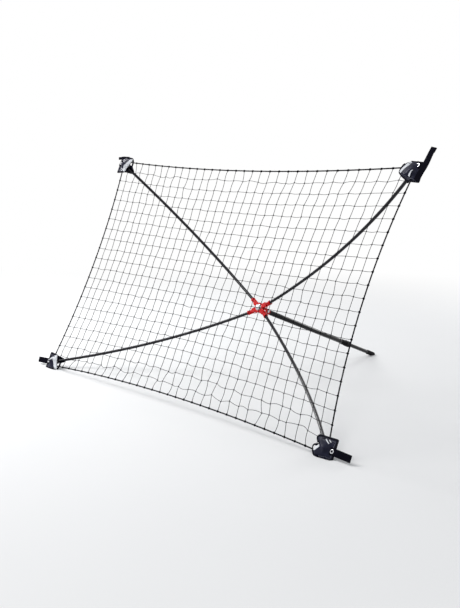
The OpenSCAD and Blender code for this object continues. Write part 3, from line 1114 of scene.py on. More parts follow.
@dataclass
class Layout:
    """Where things are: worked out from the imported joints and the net's box."""

    half_w: float = 762.0 * MM
    half_h: float = 465.0 * MM
    lean: float = math.radians(25.0)
    rope_out_u: float = 8.0 * MM
    rope_out_w: float = 16.0 * MM
    side_bow: float = 46.0 * MM
    level_bow: float = 30.0 * MM
    net: Place = field(init=False)
    hub: Place = field(init=False)
    leg: Place = field(init=False)

    def __post_init__(self) -> None:
        """Finds the net's plane, the hub and the leg."""
        across = np.array([1.0, 0.0, 0.0])
        up = np.array([0.0, math.sin(self.lean), math.cos(self.lean)])
        front = np.array([0.0, -math.cos(self.lean), math.sin(self.lean)])
        low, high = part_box("net")
        self.net = Place((np.array(low) + np.array(high)) / 2, across, up, front)
        pivots = [joint("fold_" + c.label)["pos_m"] for c in Corner]
        self.hub = Place(np.mean(pivots, axis=0), across, up, front)
        down = np.array(joint("leg_slide")["axis"], float)
        pivot = np.array(joint("leg_fold")["pos_m"], float)
        self.leg = Place(pivot, across, np.cross(down, across), down)

    @property
    def rope_w(self) -> float:
        """Half the width between the rope corners."""
        return self.half_w + self.rope_out_u

    @property
    def rope_h(self) -> float:
        """Half the height between the rope corners."""
        return self.half_h + self.rope_out_w

    def corner(self, corner: Corner) -> Place:
        """The place of a pole's tip, with x and y both running outwards.

        Args:
            corner: which one.

        Returns:
            The place.
        """
        return Place(
            self.net.at(corner.side * self.half_w, corner.level * self.half_h, 0.0),
            self.net.x * corner.side,
            self.net.y * corner.level,
            self.net.z,
        )

    def spread(self, u: Array, w: Array) -> tuple[Array, Array]:
        """Where the net's point (u, w), from -1 to 1 each way, lies on the bowed net.

        x = u * (half width - side bow * (1 - w^2)), and y the same with u and w changed round.

        Args:
            u: across.
            w: up.

        Returns:
            x and y, in metres.
        """
        x = u * (self.rope_w - self.side_bow * (1 - w * w))
        y = w * (self.rope_h - self.level_bow * (1 - u * u))
        return x, y

    def share(self, points: Array) -> Array:
        """How far a point of the net follows its corner: 0 on the middle lines, 1 at a pocket.

        It is the smooth step of |x| times the smooth step of |y|, each over the way to the pocket.

        Args:
            points: (n, 3).

        Returns:
            (n,), from 0 to 1.
        """
        away = points - self.net.origin
        x, y = abs(away @ self.net.x), abs(away @ self.net.y)
        return ease(x / (self.half_w - 70 * MM)) * ease(y / (self.half_h - 48 * MM))


def follow_corner(piece: Any, corner: Corner, layout: Layout) -> None:
    """Bakes a quarter of the net or half a rope into place and works out how far each point would
    follow a corner's arm; that share is not put to use.

    The share falls to nothing on the net's middle lines.

    Args:
        piece: the netting or rope.
        corner: the corner that it runs to.
        layout: where things are.
    """
    far = layout.corner(corner).origin
    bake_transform(piece)
    points = np.empty(len(piece.data.vertices) * 3, np.float32)
    piece.data.vertices.foreach_get("co", points)
    share = layout.share(points.reshape(-1, 3).astype(float)).astype(np.float32)


# ---- Netting and ropes ----


@dataclass
class Netting:
    """Square knotted netting, and the four twisted ropes that it is lashed to."""

    layout: Layout
    columns: int = 34
    rows: int = 21
    twine: float = 2.0 * MM
    knot: float = 2.3 * MM
    steps: int = 4
    sides: int = 6
    belly: float = 9.0 * MM
    rope: float = 5.0 * MM
    lay: float = 15.0 * MM
    seed: int = 7

    def jitter(self) -> dict[str, Array]:
        """Random offsets of knots and strands, larger near the top rope and in the slack foot.

        Returns:
            Offsets in metres, of the knots and of the upright and level strands.
        """
        draw = np.random.RandomState(self.seed)
        c, r = self.columns + 1, self.rows + 1
        w = np.linspace(-1.0, 1.0, r)[None, :]
        slack = 0.8 + 1.0 * ease((w - 0.72) / 0.28) + 2.4 * ease((-0.70 - w) / 0.25)
        edge_w = np.clip((1 - abs(w)) * 12, 0, 1)
        edge_u = np.clip((1 - abs(np.linspace(-1.0, 1.0, c)[:, None])) * 12, 0, 1)
        free = edge_w * edge_u
        knots = draw.normal(size=(c, r, 3)) * np.array([1.4, 1.3, 1.6]) * MM
        zigzag = 0.8 * MM * (-1.0) ** np.add.outer(np.arange(c), np.arange(r))
        knots[..., 0] += zigzag
        return {
            "knots": knots * (slack * free)[..., None],
            "upright": draw.normal(size=(c, r - 1, 2)) * 0.6 * MM * slack[:, 1:, None],
            "level": draw.normal(size=(c - 1, r, 2)) * 1.2 * MM * slack[:, :, None],
        }

    def knots(self, offsets: Array) -> Array:
        """Every crossing, (columns + 1, rows + 1, 3), in net coordinates.

        Args:
            offsets: added to the crossings.

        Returns:
            The crossings.
        """
        u = np.linspace(-1.0, 1.0, self.columns + 1)[:, None]
        w = np.linspace(-1.0, 1.0, self.rows + 1)[None, :]
        x, y = self.layout.spread(u, w)
        back = -self.belly * (1 - u * u) * (1 - w * w)
        return np.stack([x, y, back], axis=-1) + offsets

    def strands(self, knots: Array, bow: Array, droop: float) -> Array:
        """Strands through rows of knots.

        Between two knots the strand runs straight plus sin(pi t) times its own bow, and hangs
        by droop times the same.

        Args:
            knots: (strands, knots, 3).
            bow: (strands, knots - 1, 2), sideways and out of the net.
            droop: how far the middle of each stretch hangs.

        Returns:
            (strands, points, 3) in net coordinates.
        """
        t = np.arange(self.steps) / self.steps
        a, b = knots[:, :-1, None], knots[:, 1:, None]
        line = a + (b - a) * t[None, None, :, None]
        swell = np.sin(math.pi * t)[None, None, :]
        run = unit(b - a)
        aside = np.stack([-run[..., 1], run[..., 0], 0 * run[..., 0]], axis=-1)
        line = line + swell[..., None] * bow[:, :, None, :1] * aside
        line[..., 2] += swell * bow[:, :, None, 1]
        line[..., 1] -= swell * droop
        return np.concatenate([line.reshape(len(knots), -1, 3), knots[:, -1:]], axis=1)

    def quarter(self, corner: Corner, knots: Array, noise: dict[str, Array]) -> Skin:
        """The twine and knots of one quarter of the net, cut at the middle lines.

        Args:
            corner: whose quarter.
            knots: every crossing.
            noise: what jitter returns.

        Returns:
            The quarter's skin.
        """
        place = self.layout.net
        mid_c, mid_r = self.columns // 2, self.rows // 2
        upright = self.strands(knots[1:-1], noise["upright"][1:-1], 0.0)
        flat = self.strands(
            knots[:, 1:-1].transpose(1, 0, 2), noise["level"][:, 1:-1].transpose(1, 0, 2), 0.6 * MM
        )
        cols = np.arange(1, self.columns)
        pick = cols > mid_c if corner.side > 0 else cols <= mid_c
        half = mid_r * self.steps + self.steps // 2
        cut = slice(half, None) if corner.level > 0 else slice(0, half + 1)
        ups = upright[pick][:, cut]
        levels = np.arange(1, self.rows)
        pick_r = levels > mid_r if corner.level > 0 else levels <= mid_r
        middle = mid_c * self.steps
        cut_r = slice(middle, None) if corner.side > 0 else slice(0, middle + 1)
        sideways = flat[pick_r][:, cut_r]
        section = round_section(self.twine / 2, self.sides)
        skin = swept_skin(place.at(*np.moveaxis(ups, -1, 0)), section, place.z)
        skin += swept_skin(place.at(*np.moveaxis(sideways, -1, 0)), section * 0.85, place.z)
        inner = knots[1:-1, 1:-1][pick][:, pick_r].reshape(-1, 3)
        centres = place.at(*inner.T)
        along = place.x * 0.12 + place.y
        skin += bead_skin(
            centres, np.broadcast_to(along, centres.shape), place.z,
            (self.knot * 1.7, self.knot * 0.8, self.knot * 0.8),
        )
        turned = place.x * 0.8 + place.y * 0.6
        return skin + bead_skin(
            centres, np.broadcast_to(turned, centres.shape), place.z,
            (self.knot * 1.1, self.knot * 0.66, self.knot * 0.85),
        )

    def rope_path(self, level: bool, sign: int, half: int, count: int) -> Array:
        """Half a border rope, from the middle of its side into a pocket.

        Args:
            level: whether it is the top or bottom rope.
            sign: 1 for the top or right one, and -1 otherwise.
            half: 1 for its right or upper half, and -1 otherwise.
            count: how many points.

        Returns:
            (count, 3).
        """
        reach = 1.0 - 26 * MM / (self.layout.rope_w if level else self.layout.rope_h)
        along = np.linspace(0.0, half * reach, count)
        if level:
            x, y = self.layout.spread(along, np.full(count, float(sign)))
        else:
            x, y = self.layout.spread(np.full(count, float(sign)), along)
        return self.layout.net.at(x, y, 0.0)

    def rope_skin(self, path: Array) -> Skin:
        """Three strands laid up in a rope.

        The radius is R * (0.74 + 0.26 * |cos(1.5 * (angle - turn))|^0.7), and turn grows with
        the way along, once round to each lay.

        Args:
            path: (n, 3), the rope's middle.

        Returns:
            The rope's skin.
        """
        sides = 18
        run = run_length(path)[:, None]
        angle = (np.arange(sides) * 2 * math.pi / sides)[None, :]
        lobe = abs(np.cos(1.5 * (angle - 2 * math.pi * run / self.lay))) ** 0.7
        radius = self.rope / 2 * (0.74 + 0.26 * lobe)
        section = np.stack([radius * np.cos(angle), radius * np.sin(angle)], axis=-1)
        return swept_skin(path, section, self.layout.net.z)

    def lashings(self, ends: Array, along: Array) -> Skin:
        """A hitch of twine round the rope at each strand's end: three turns and a tail knot.

        Args:
            ends: (n, 3), the strands' ends.
            along: (n, 3), the rope's direction.

        Returns:
            The hitches' skin.
        """
        turns, count = 2.5, 31
        t = np.linspace(0.0, 1.0, count)[None, :, None]
        n = self.layout.net.z[None, None]
        run = unit(along)[:, None]
        out = np.cross(run, n)
        angle = 2 * math.pi * turns * t
        radius = self.rope / 2 + self.twine * 0.35
        path = (
            ends[:, None]
            + run * (t - 0.5) * self.twine * turns * 0.9
            + radius * (np.cos(angle) * out + np.sin(angle) * n)
        )
        skin = swept_skin(path, round_section(self.twine * 0.42, 5), run)
        inner = unit(self.layout.net.origin - ends)
        knots = ends + inner * (radius + self.twine * 0.4)
        return skin + bead_skin(knots, along, n[0], (self.knot, self.knot * 0.8, self.knot * 0.8))

    def half_rope(self, corner: Corner, level: bool, knots: Array) -> None:
        """Makes half a border rope, with the lashings of the strands that end on it.

        Args:
            corner: the corner that it runs to.
            level: whether it is part of the top or bottom rope.
            knots: the net's crossings.
        """
        place = self.layout.net
        height, side = corner.label.split("_")
        if level:
            sign, half, count = corner.level, corner.side, self.columns
            ends = knots[1:-1, -1 if sign > 0 else 0]
            node, end, ahead, steps = "rope_" + height, side, place.x, 300
        else:
            sign, half, count = corner.side, corner.level, self.rows
            ends = knots[-1 if sign > 0 else 0, 1:-1]
            node, end, ahead, steps = "rope_" + side, height, place.y, 190
        beyond = np.arange(1, count) > count // 2
        ends = place.at(*ends[beyond if half > 0 else ~beyond].T)
        skin = self.rope_skin(self.rope_path(level, sign, half, steps))
        skin += self.lashings(ends, np.broadcast_to(ahead, ends.shape))
        piece = piece_from(f"{node}_{end}_half", skin, ROPE, 60.0)
        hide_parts(node)
        follow_corner(piece, corner, self.layout)

    def build(self) -> None:
        """Makes the four quarters of netting and the eight half ropes."""
        noise = self.jitter()
        knots = self.knots(noise["knots"])
        for corner in Corner:
            skin = self.quarter(corner, knots, noise)
            piece = piece_from("netting_" + corner.label, skin, TWINE)
            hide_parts("net")
            follow_corner(piece, corner, self.layout)
        for corner in Corner:
            for level in (True, False):
                self.half_rope(corner, level, knots)
        log.info("netting: %d by %d meshes", self.columns, self.rows)


# ---- Arms: sockets, poles, tip caps, pockets, tabs and eyelets ----


@dataclass
class Pole:
    """A bent rod: straight in its socket, one long bend, and straight into its pocket."""

    layout: Layout
    corner: Corner
    radius: float = 6.0 * MM
    end_radius: float = 5.9 * MM
    tilt: float = math.radians(9.5)
    straight: float = 64.0 * MM
    seat: float = 14.3 * MM

    def plane(self) -> Place:
        """The pole's hinge pin, with x out to the corner and z to the front.

        Returns:
            The pin's place.
        """
        pivot = np.array(joint("fold_" + self.corner.label)["pos_m"], float)
        out = unit(pivot - self.layout.hub.origin)
        front = self.layout.hub.z
        return Place(pivot, out, np.cross(front, out), front)

    def line(self) -> tuple[Array, float]:
        """The pole's own line, as (points, 2) out and forward of the pin, and its end's tilt.

        Returns:
            The line, and the tilt in radians.
        """
        plane = self.plane()
        reach = self.layout.corner(self.corner).origin - plane.origin
        tip = np.array([reach @ plane.x, reach @ plane.z])
        bearing = math.atan2(tip[1], tip[0])
        bend = 2 * (bearing - self.tilt)
        chord = float(np.linalg.norm(tip)) - 2 * self.straight * math.cos(bend / 2)
        radius = chord / (2 * math.sin(bend / 2))
        turn = np.linspace(0.0, bend, 60)
        start = np.stack([np.linspace(self.seat, self.straight, 8)[:-1], np.zeros(7)], axis=1)
        arc = np.stack([self.straight + radius * np.sin(turn), radius * (1 - np.cos(turn))], 1)
        ahead = np.array([math.cos(bend), math.sin(bend)])
        end = arc[-1] + np.linspace(0.0, self.straight, 8)[1:, None] * ahead
        flat = np.concatenate([start, arc, end])
        c, s = math.cos(self.tilt), math.sin(self.tilt)
        turned = np.stack([flat[:, 0] * c - flat[:, 1] * s, flat[:, 0] * s + flat[:, 1] * c], 1)
        return turned, self.tilt + bend

    def build(self) -> Any:
        """Makes the pole, thinner where its ends are held and chamfered at both ends.

        Returns:
            The object.
        """
        plane = self.plane()
        line, _ = self.line()
        points = plane.at(line[:, 0], 0.0, line[:, 1])
        run = run_length(points)
        near = np.minimum(run, run[-1] - run)
        radius = np.where(near < self.straight - self.seat - MM, self.end_radius, self.radius)
        radius = radius - np.clip(0.6 * MM - near, 0.0, 0.6 * MM)
        section = round_section(1.0, 28)[None] * radius[:, None, None]
        skin = swept_skin(points, section, plane.y)
        piece = piece_from("bent_pole_" + self.corner.label, skin, POLE)
        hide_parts("pole_" + self.corner.label)
        return piece

    def tip(self) -> Place:
        """The pole's far end, with z along the pole and x across it in the net's plane.

        Returns:
            The tip's place.
        """
        plane = self.plane()
        _, tilt = self.line()
        ahead = plane.x * math.cos(tilt) + plane.z * math.sin(tilt)
        origin = self.layout.corner(self.corner).origin
        return Place(origin, plane.y, np.cross(ahead, plane.y), ahead)


@dataclass
class Pocket:
    """A corner pocket: a puffed front panel, a gusset round the pole, tapes and stitching.

    Coordinates are the corner's own: u and w run outwards from the pole's tip, in metres, and h
    runs to the front.
    """

    layout: Layout
    corner: Corner
    pole: Pole
    in_u: float = 54.0 * MM
    in_w: float = 30.0 * MM
    out: float = 30.0 * MM
    sleeve: float = 9.4 * MM
    depth: float = 50.0 * MM
    cloth: float = 1.4 * MM
    mouth_w: float = 4.0 * MM
    mouth_u: float = 14.0 * MM

    def mouth(self, s: Array) -> Array:
        """The front panel's inner edge.

        It is a smooth curve from the outer edge at s 0, over the rope and down across the pole,
        to the mouth's lower end at s 1. The upper right one is pulled out to a point, and the
        lower right one is notched beside the pole.

        Args:
            s: (n,), from 0 to 1 along the edge.

        Returns:
            (n, 2), in u and w.
        """
        if self.corner is Corner.TOP_RIGHT:
            bends = [[-18, 33], [-36, 28], [-52, 12], [-56, -3], [-36, -20], [-14, -33]]
        elif self.corner is Corner.BOTTOM_RIGHT:
            bends = [[-18, 33], [-40, 30], [-50, 9], [-27, -12], [-42, -17], [-49, -30], [-38, -36]]
        else:
            bends = [[-18, 33], [-38, 31], [-50, 25], [-31, -1], [-14, -33]]
        line = eased_profile(np.array(bends) * MM, 14.0 * MM, 12)
        run = run_length(line)
        return np.stack([np.interp(s * run[-1], run, line[:, k]) for k in range(2)], axis=-1)

    def outer(self, count: int) -> Array:
        """The outer edge, round the corner by an arc, at equal steps.

        Args:
            count: how many points.

        Returns:
            (count, 2), in u and w.
        """
        turn = np.linspace(math.pi / 2, 0.0, 9)
        bend = 9.0 * MM
        arc = (self.out - bend) + bend * np.stack([np.cos(turn), np.sin(turn)], axis=1)
        start = np.array([[-15.0 * MM, self.out + 2.5 * MM]])
        end = np.array([[self.out, -36.0 * MM]])
        return resample(np.concatenate([start, arc, end]), count)

    def puff(self, u: Array, w: Array) -> Array:
        """Height of the front panel's middle over the net's plane.

        A bump over the cap on the pole's tip, a broad swell over the pouch, and small puckers.

        Args:
            u: outwards across, in metres.
            w: outwards up, in metres.

        Returns:
            Heights in metres.
        """
        half_w, half_h = self.layout.half_w, self.layout.half_h
        diagonal = math.hypot(half_w, half_h)
        c, s = half_w / diagonal, half_h / diagonal
        inward, aside = -(u * c + w * s), w * c - u * s
        reach = np.where(inward < 0, 7.0 * MM, 15.0 * MM)
        bump = 10.8 * MM * np.exp(-((inward / reach) ** 2) - (aside / (11.5 * MM)) ** 2)
        ridge = 3.4 * MM * ease((inward + 4 * MM) / (14 * MM))
        ridge = ridge * ease((46 * MM - inward) / (20 * MM))
        ridge = ridge * np.exp(-((aside / (6.0 * MM)) ** 2))
        away = ((u + 16 * MM) / (33 * MM)) ** 4 + ((w - 3 * MM) / (27 * MM)) ** 4
        swell = 6.5 * MM * np.exp(-away) * (1 - 0.75 * ease((u - 8 * MM) / (12 * MM)))
        pull = np.sin((u * 0.52 - w * 0.85) / (2.9 * MM) + 1.3 * np.sin(w / (8 * MM)))
        pucker = 0.75 * MM * pull * np.exp(-(((inward - 6 * MM) / (22 * MM)) ** 2))
        return bump + ridge + swell + pucker * np.clip((30 * MM - abs(u)) / (30 * MM), 0, 1)

    def rise(self, u: Array, w: Array) -> Array:
        """How far the panel has risen from its inner edge: a smooth step of the distance to it.

        Args:
            u: outwards across, in metres.
            w: outwards up, in metres.

        Returns:
            The share, up to 1.
        """
        edge = self.mouth(np.linspace(0.0, 1.0, 90))
        away = np.stack([u, w], axis=-1)[..., None, :] - edge
        return ease(np.linalg.norm(away, axis=-1).min(axis=-1) / (13.0 * MM) + 0.2)

    def grounded(self, points: Array) -> Array:
        """Points no lower than the ground: what would reach below turns forward along it.

        Args:
            points: (n, 3).

        Returns:
            (n, 3).
        """
        low = 0.25 * MM
        under = np.clip(low - points[:, 2], 0.0, None)
        return points + np.stack([0 * under, -0.8 * under, under], axis=1)

    def on_panel(self, plan: Array, lift: float) -> Array:
        """Points of the panel at plan's u and w, lifted off its middle by that much."""
        u, w = plan.T
        return self.layout.corner(self.corner).at(u, w, self.puff(u, w) * self.rise(u, w) + lift)

    def panel(self) -> Skin:
        """The front panel: a slab over the grid (1 - t) * mouth(s) + t * outer(s).

        Returns:
            The closed slab.
        """
        s, t = np.linspace(0, 1, 64), np.linspace(0, 1, 40)
        inner, outer = self.mouth(s)[None], self.outer(len(s))[None]
        plan = (1 - t)[:, None, None] * inner + t[:, None, None] * outer
        u, w = plan[..., 0], plan[..., 1]
        edge = np.minimum(t, 1 - t)[:, None] + 0 * u
        half = self.cloth * 0.9 + 0.3 * MM * ease(edge / 0.08)
        height = self.puff(u, w) * self.rise(u, w) * ease((1 - t[:, None]) / 0.12 + 0.1)
        place = self.layout.corner(self.corner)
        front = place.at(u, w, height + half)
        back = place.at(u, w, height - half)
        return slab_skin(front, back, t * 70 * MM, s * 110 * MM)

    def around(self, along: Array, angle: Array, radius: float, lift: float) -> Array:
        """The gusset round the pole.

        At each step along the pole from its tip the section starts on the panel, runs round the
        back of the sleeve and returns to the panel: it is the chord between its two seams, drawn
        towards a circle of that radius by a smooth share that is 0 at both seams.

        Args:
            along: (n, 1) from 0 at the tip to 1 at the mouth, with a little before 0.
            angle: (1, m) from 0 to pi.
            radius: of the circle.
            lift: height of the seams.

        Returns:
            Points (n, m, 3) in the shared frame.
        """
        place, tip = self.layout.corner(self.corner), self.pole.tip()
        q = np.clip(along, 0.0, 1.0)
        sign = 1.0 if (tip.x @ place.y) > 0 else -1.0
        near, far = 3 * MM, 15 * MM
        seam_a = np.stack([near + q * (-self.in_u - near), far - q * (far + self.mouth_w)], -1)
        seam_b = np.stack([far - q * (far + self.mouth_u), near + q * (-self.in_w - near)], -1)
        turn = (1 - np.cos(angle)) / 2
        chord = seam_a + (seam_b - seam_a) * turn[..., None]
        chord = place.at(chord[..., 0], chord[..., 1], np.broadcast_to(lift, turn.shape))
        back = tip.y if (tip.y @ place.z) < 0 else -tip.y
        centre = tip.origin + tip.z * (5.2 * MM - q * (self.depth + 5.2 * MM))[..., None]
        ring = (
            centre
            + (radius * np.cos(angle))[..., None] * tip.x * sign
            + (radius * np.sin(angle))[..., None] * back
        )
        share = ease(angle / 0.75) * ease((math.pi - angle) / 0.75)
        share = share * ease((along + 0.22) / 0.24)
        return chord + (ring - chord) * share[..., None]

    def gusset(self) -> Skin:
        """The gusset as a closed slab of cloth.

        Returns:
            The closed slab.
        """
        along = np.linspace(-0.22, 1.0, 44)[:, None]
        angle = np.linspace(0.0, math.pi, 36)[None, :]
        outside = self.around(along, angle, self.sleeve, -self.cloth)
        inside = self.around(along, angle, self.sleeve - self.cloth, -0.2 * MM)
        ripple = 0.35 * MM * np.sin(along * 21 + 2.2 * np.sin(angle * 3)) * np.sin(angle)
        outside = outside + ripple[..., None] * self.layout.corner(self.corner).z
        return slab_skin(outside, inside, along[:, 0] * 60 * MM, angle[0] * 22 * MM)

    def span(self) -> tuple[float, float]:
        """The part of the mouth's curve that the pale binding covers: only the stretch that faces
        the light, so that it is partly a painted highlight.
        """
        parts = {Corner.TOP_RIGHT: (0.02, 0.52), Corner.BOTTOM_RIGHT: (0.36, 0.62)}
        return parts.get(self.corner, (0.30, 1.0))

    def rim(self) -> Array:
        """The open line of the sleeve's binding: down from the rope and round behind the pole.

        Returns:
            (90, 3).
        """
        place = self.layout.corner(self.corner)
        lead = np.array([[-44, 27], [-51, 20], [-55, 10], [-56, 2]]) * MM
        lead = place.at(lead[:, 0], lead[:, 1], -1.0 * MM)
        angle = np.linspace(0.0, math.pi, 40)
        back = self.around(np.ones((1, 1)), angle[None], self.sleeve - 0.5 * MM, -self.cloth)[0]
        line = resample(np.concatenate([lead, back]), 90)
        for _ in range(12):
            line[1:-1] = (line[:-2] + 2 * line[1:-1] + line[2:]) / 4
        return line

    def inside(self, s: Array, by: float) -> Array:
        """Points of the mouth's curve moved into the panel by that distance.

        Args:
            s: (n,), from 0 to 1 along the edge.
            by: in metres.

        Returns:
            (n, 2), in u and w.
        """
        line = self.mouth(s)
        run = unit(np.gradient(line, axis=0))
        return line + by * np.stack([-run[:, 1], run[:, 0]], axis=1)

    def tape(self) -> Skin:
        """The pale binding: a folded band over the front panel's inner edge, partly a real binding
        and partly a painted highlight.

        Each ring runs from the band's inner hem on the panel's front, over the edge and a
        little way up its back.

        Returns:
            The band's skin.
        """
        # the binding covers only the stretch of mouth that faces the light: partly a painted
        # highlight
        s = np.linspace(*self.span(), 70)
        # Each corner: how far it lies inside the edge and how far off the panel, in mm.
        section = (
            (10.5, 2.1), (10.2, 2.9), (6.0, 3.1), (2.0, 2.9), (-0.8, 2.0), (-1.2, 0.0),
            (-0.8, -2.0), (2.0, -2.6), (5.5, -2.6), (5.6, -1.6), (2.2, -1.4), (0.6, 0.0),
            (2.2, 1.4), (6.0, 1.7),
        )
        lines = [self.on_panel(self.inside(s, by * MM), lift * MM) for by, lift in section]
        rings = np.stack(lines, axis=1)
        near_end = np.repeat(rings[:1].mean(axis=1, keepdims=True), len(section), 1)
        rings = np.concatenate([near_end, rings])
        along = np.concatenate([[0.0], run_length(self.mouth(s))])
        across = np.linspace(0.0, 30 * MM, len(section) + 1)
        return grid_skin(rings, along, across, close_cols=True)

    def bars(self) -> Skin:
        """Pale strips laid on the front as painted highlights: two bars, or a wedge (and a band at
        the upper right).

        Returns:
            The patches' skin.
        """
        place = self.layout.corner(self.corner)
        # painted highlights: the wedge lies along the pole where the cloth is stretched over it,
        # the band at the upper right on the fold that faces up, and the two bars on folds beside
        # the pole
        wedge = ((-9.5, -19), (6, -2), 14.0, 1.6)
        spans = {
            Corner.TOP_RIGHT: (wedge, ((-49, -6), (-15, 30), 8.0, 11.0)),
            Corner.BOTTOM_LEFT: (wedge,),
        }.get(self.corner, (((-12, -29), (6, -18), 3.8, 3.0), ((1, -30), (11, -24), 3.4, 2.6)))
        skins = []
        for start, end, wide, narrow in spans:
            line = self.on_panel(np.linspace(start, end, 17) * MM, 2.3 * MM)
            half = np.linspace(wide, narrow, 17)[:, None] / 2 * MM
            flat = flat_section(1.0, 0.55 * MM, 16)
            section = np.stack([flat[None, :, 0] * half, flat[None, :, 1] + 0 * half], axis=-1)
            skins.append(swept_skin(line, section, place.z))
        return joined(skins)

    def binding(self) -> Skin:
        """The binding of the sleeve's rim."""
        return swept_skin(self.rim(), flat_section(1.3 * MM, 3.6 * MM, 18), self.pole.tip().z)

    def border(self) -> Array:
        """The line that the edging follows: off the tape, round the outer edge and back on.

        Returns:
            (150, 2), in u and w.
        """
        first, last = self.span()
        before, after = (self.mouth(np.linspace(a, b, 12)) for a, b in ((first, 0.0), (1.0, last)))
        return resample(np.concatenate([before, self.outer(90), after]), 150)

    def edging(self) -> Skin:
        """The binding round the panel's border."""
        place, section = self.layout.corner(self.corner), flat_section(3.6 * MM, 2.1 * MM, 16)
        return swept_skin(place.at(*self.border().T, 0.0), section, place.z)

    def stitching(self) -> Skin:
        """The row of stitches inside the edging.

        Returns:
            The stitches, on the border's own line drawn 7.5 mm towards the pole's tip.
        """
        place, border = self.layout.corner(self.corner), self.border()
        shrink = 1 - 7.5 * MM / np.maximum(np.linalg.norm(border, axis=1), 1 * MM)
        u, w = (border * shrink[:, None])[18:-22].T
        row = place.at(u, w, self.puff(u, w) + 1.75 * MM)
        return stitch_skin(row, place.z, 3.6 * MM, 2.7 * MM, 0.7 * MM)

    def build(self) -> list[Any]:
        """Makes the pocket's cloth, mouth tape, edging and stitching.

        Returns:
            The pocket's objects.
        """
        label = self.corner.label
        skin = (self.panel() + self.gusset()).moved(self.grounded)
        shell = piece_from("pocket_cloth_" + label, skin, CLOTH, 50.0)
        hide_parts("pocket_" + label)
        mouth_finish = EDGING if self.corner is Corner.TOP_RIGHT else PALE_TAPE_AND_HIGHLIGHT
        sewn = (
            ("sleeve_binding_", self.binding(), EDGING, 60.0),
            ("mouth_tape_and_highlight_", self.tape(), mouth_finish, 60.0),
            ("pocket_edging_", self.edging(), EDGING, 60.0),
            # the pale bars are painted highlights
            ("painted_highlight_bars_", self.bars(), PALE_TAPE_AND_HIGHLIGHT, 60.0),
            ("pocket_stitching_", self.stitching(), THREAD, 40.0),
        )
        pieces = [shell]
        for name, skin, finish, crease in sewn:
            skin = skin.moved(self.grounded)
            pieces.append(piece_from(name + label, skin, finish, crease))
        return pieces


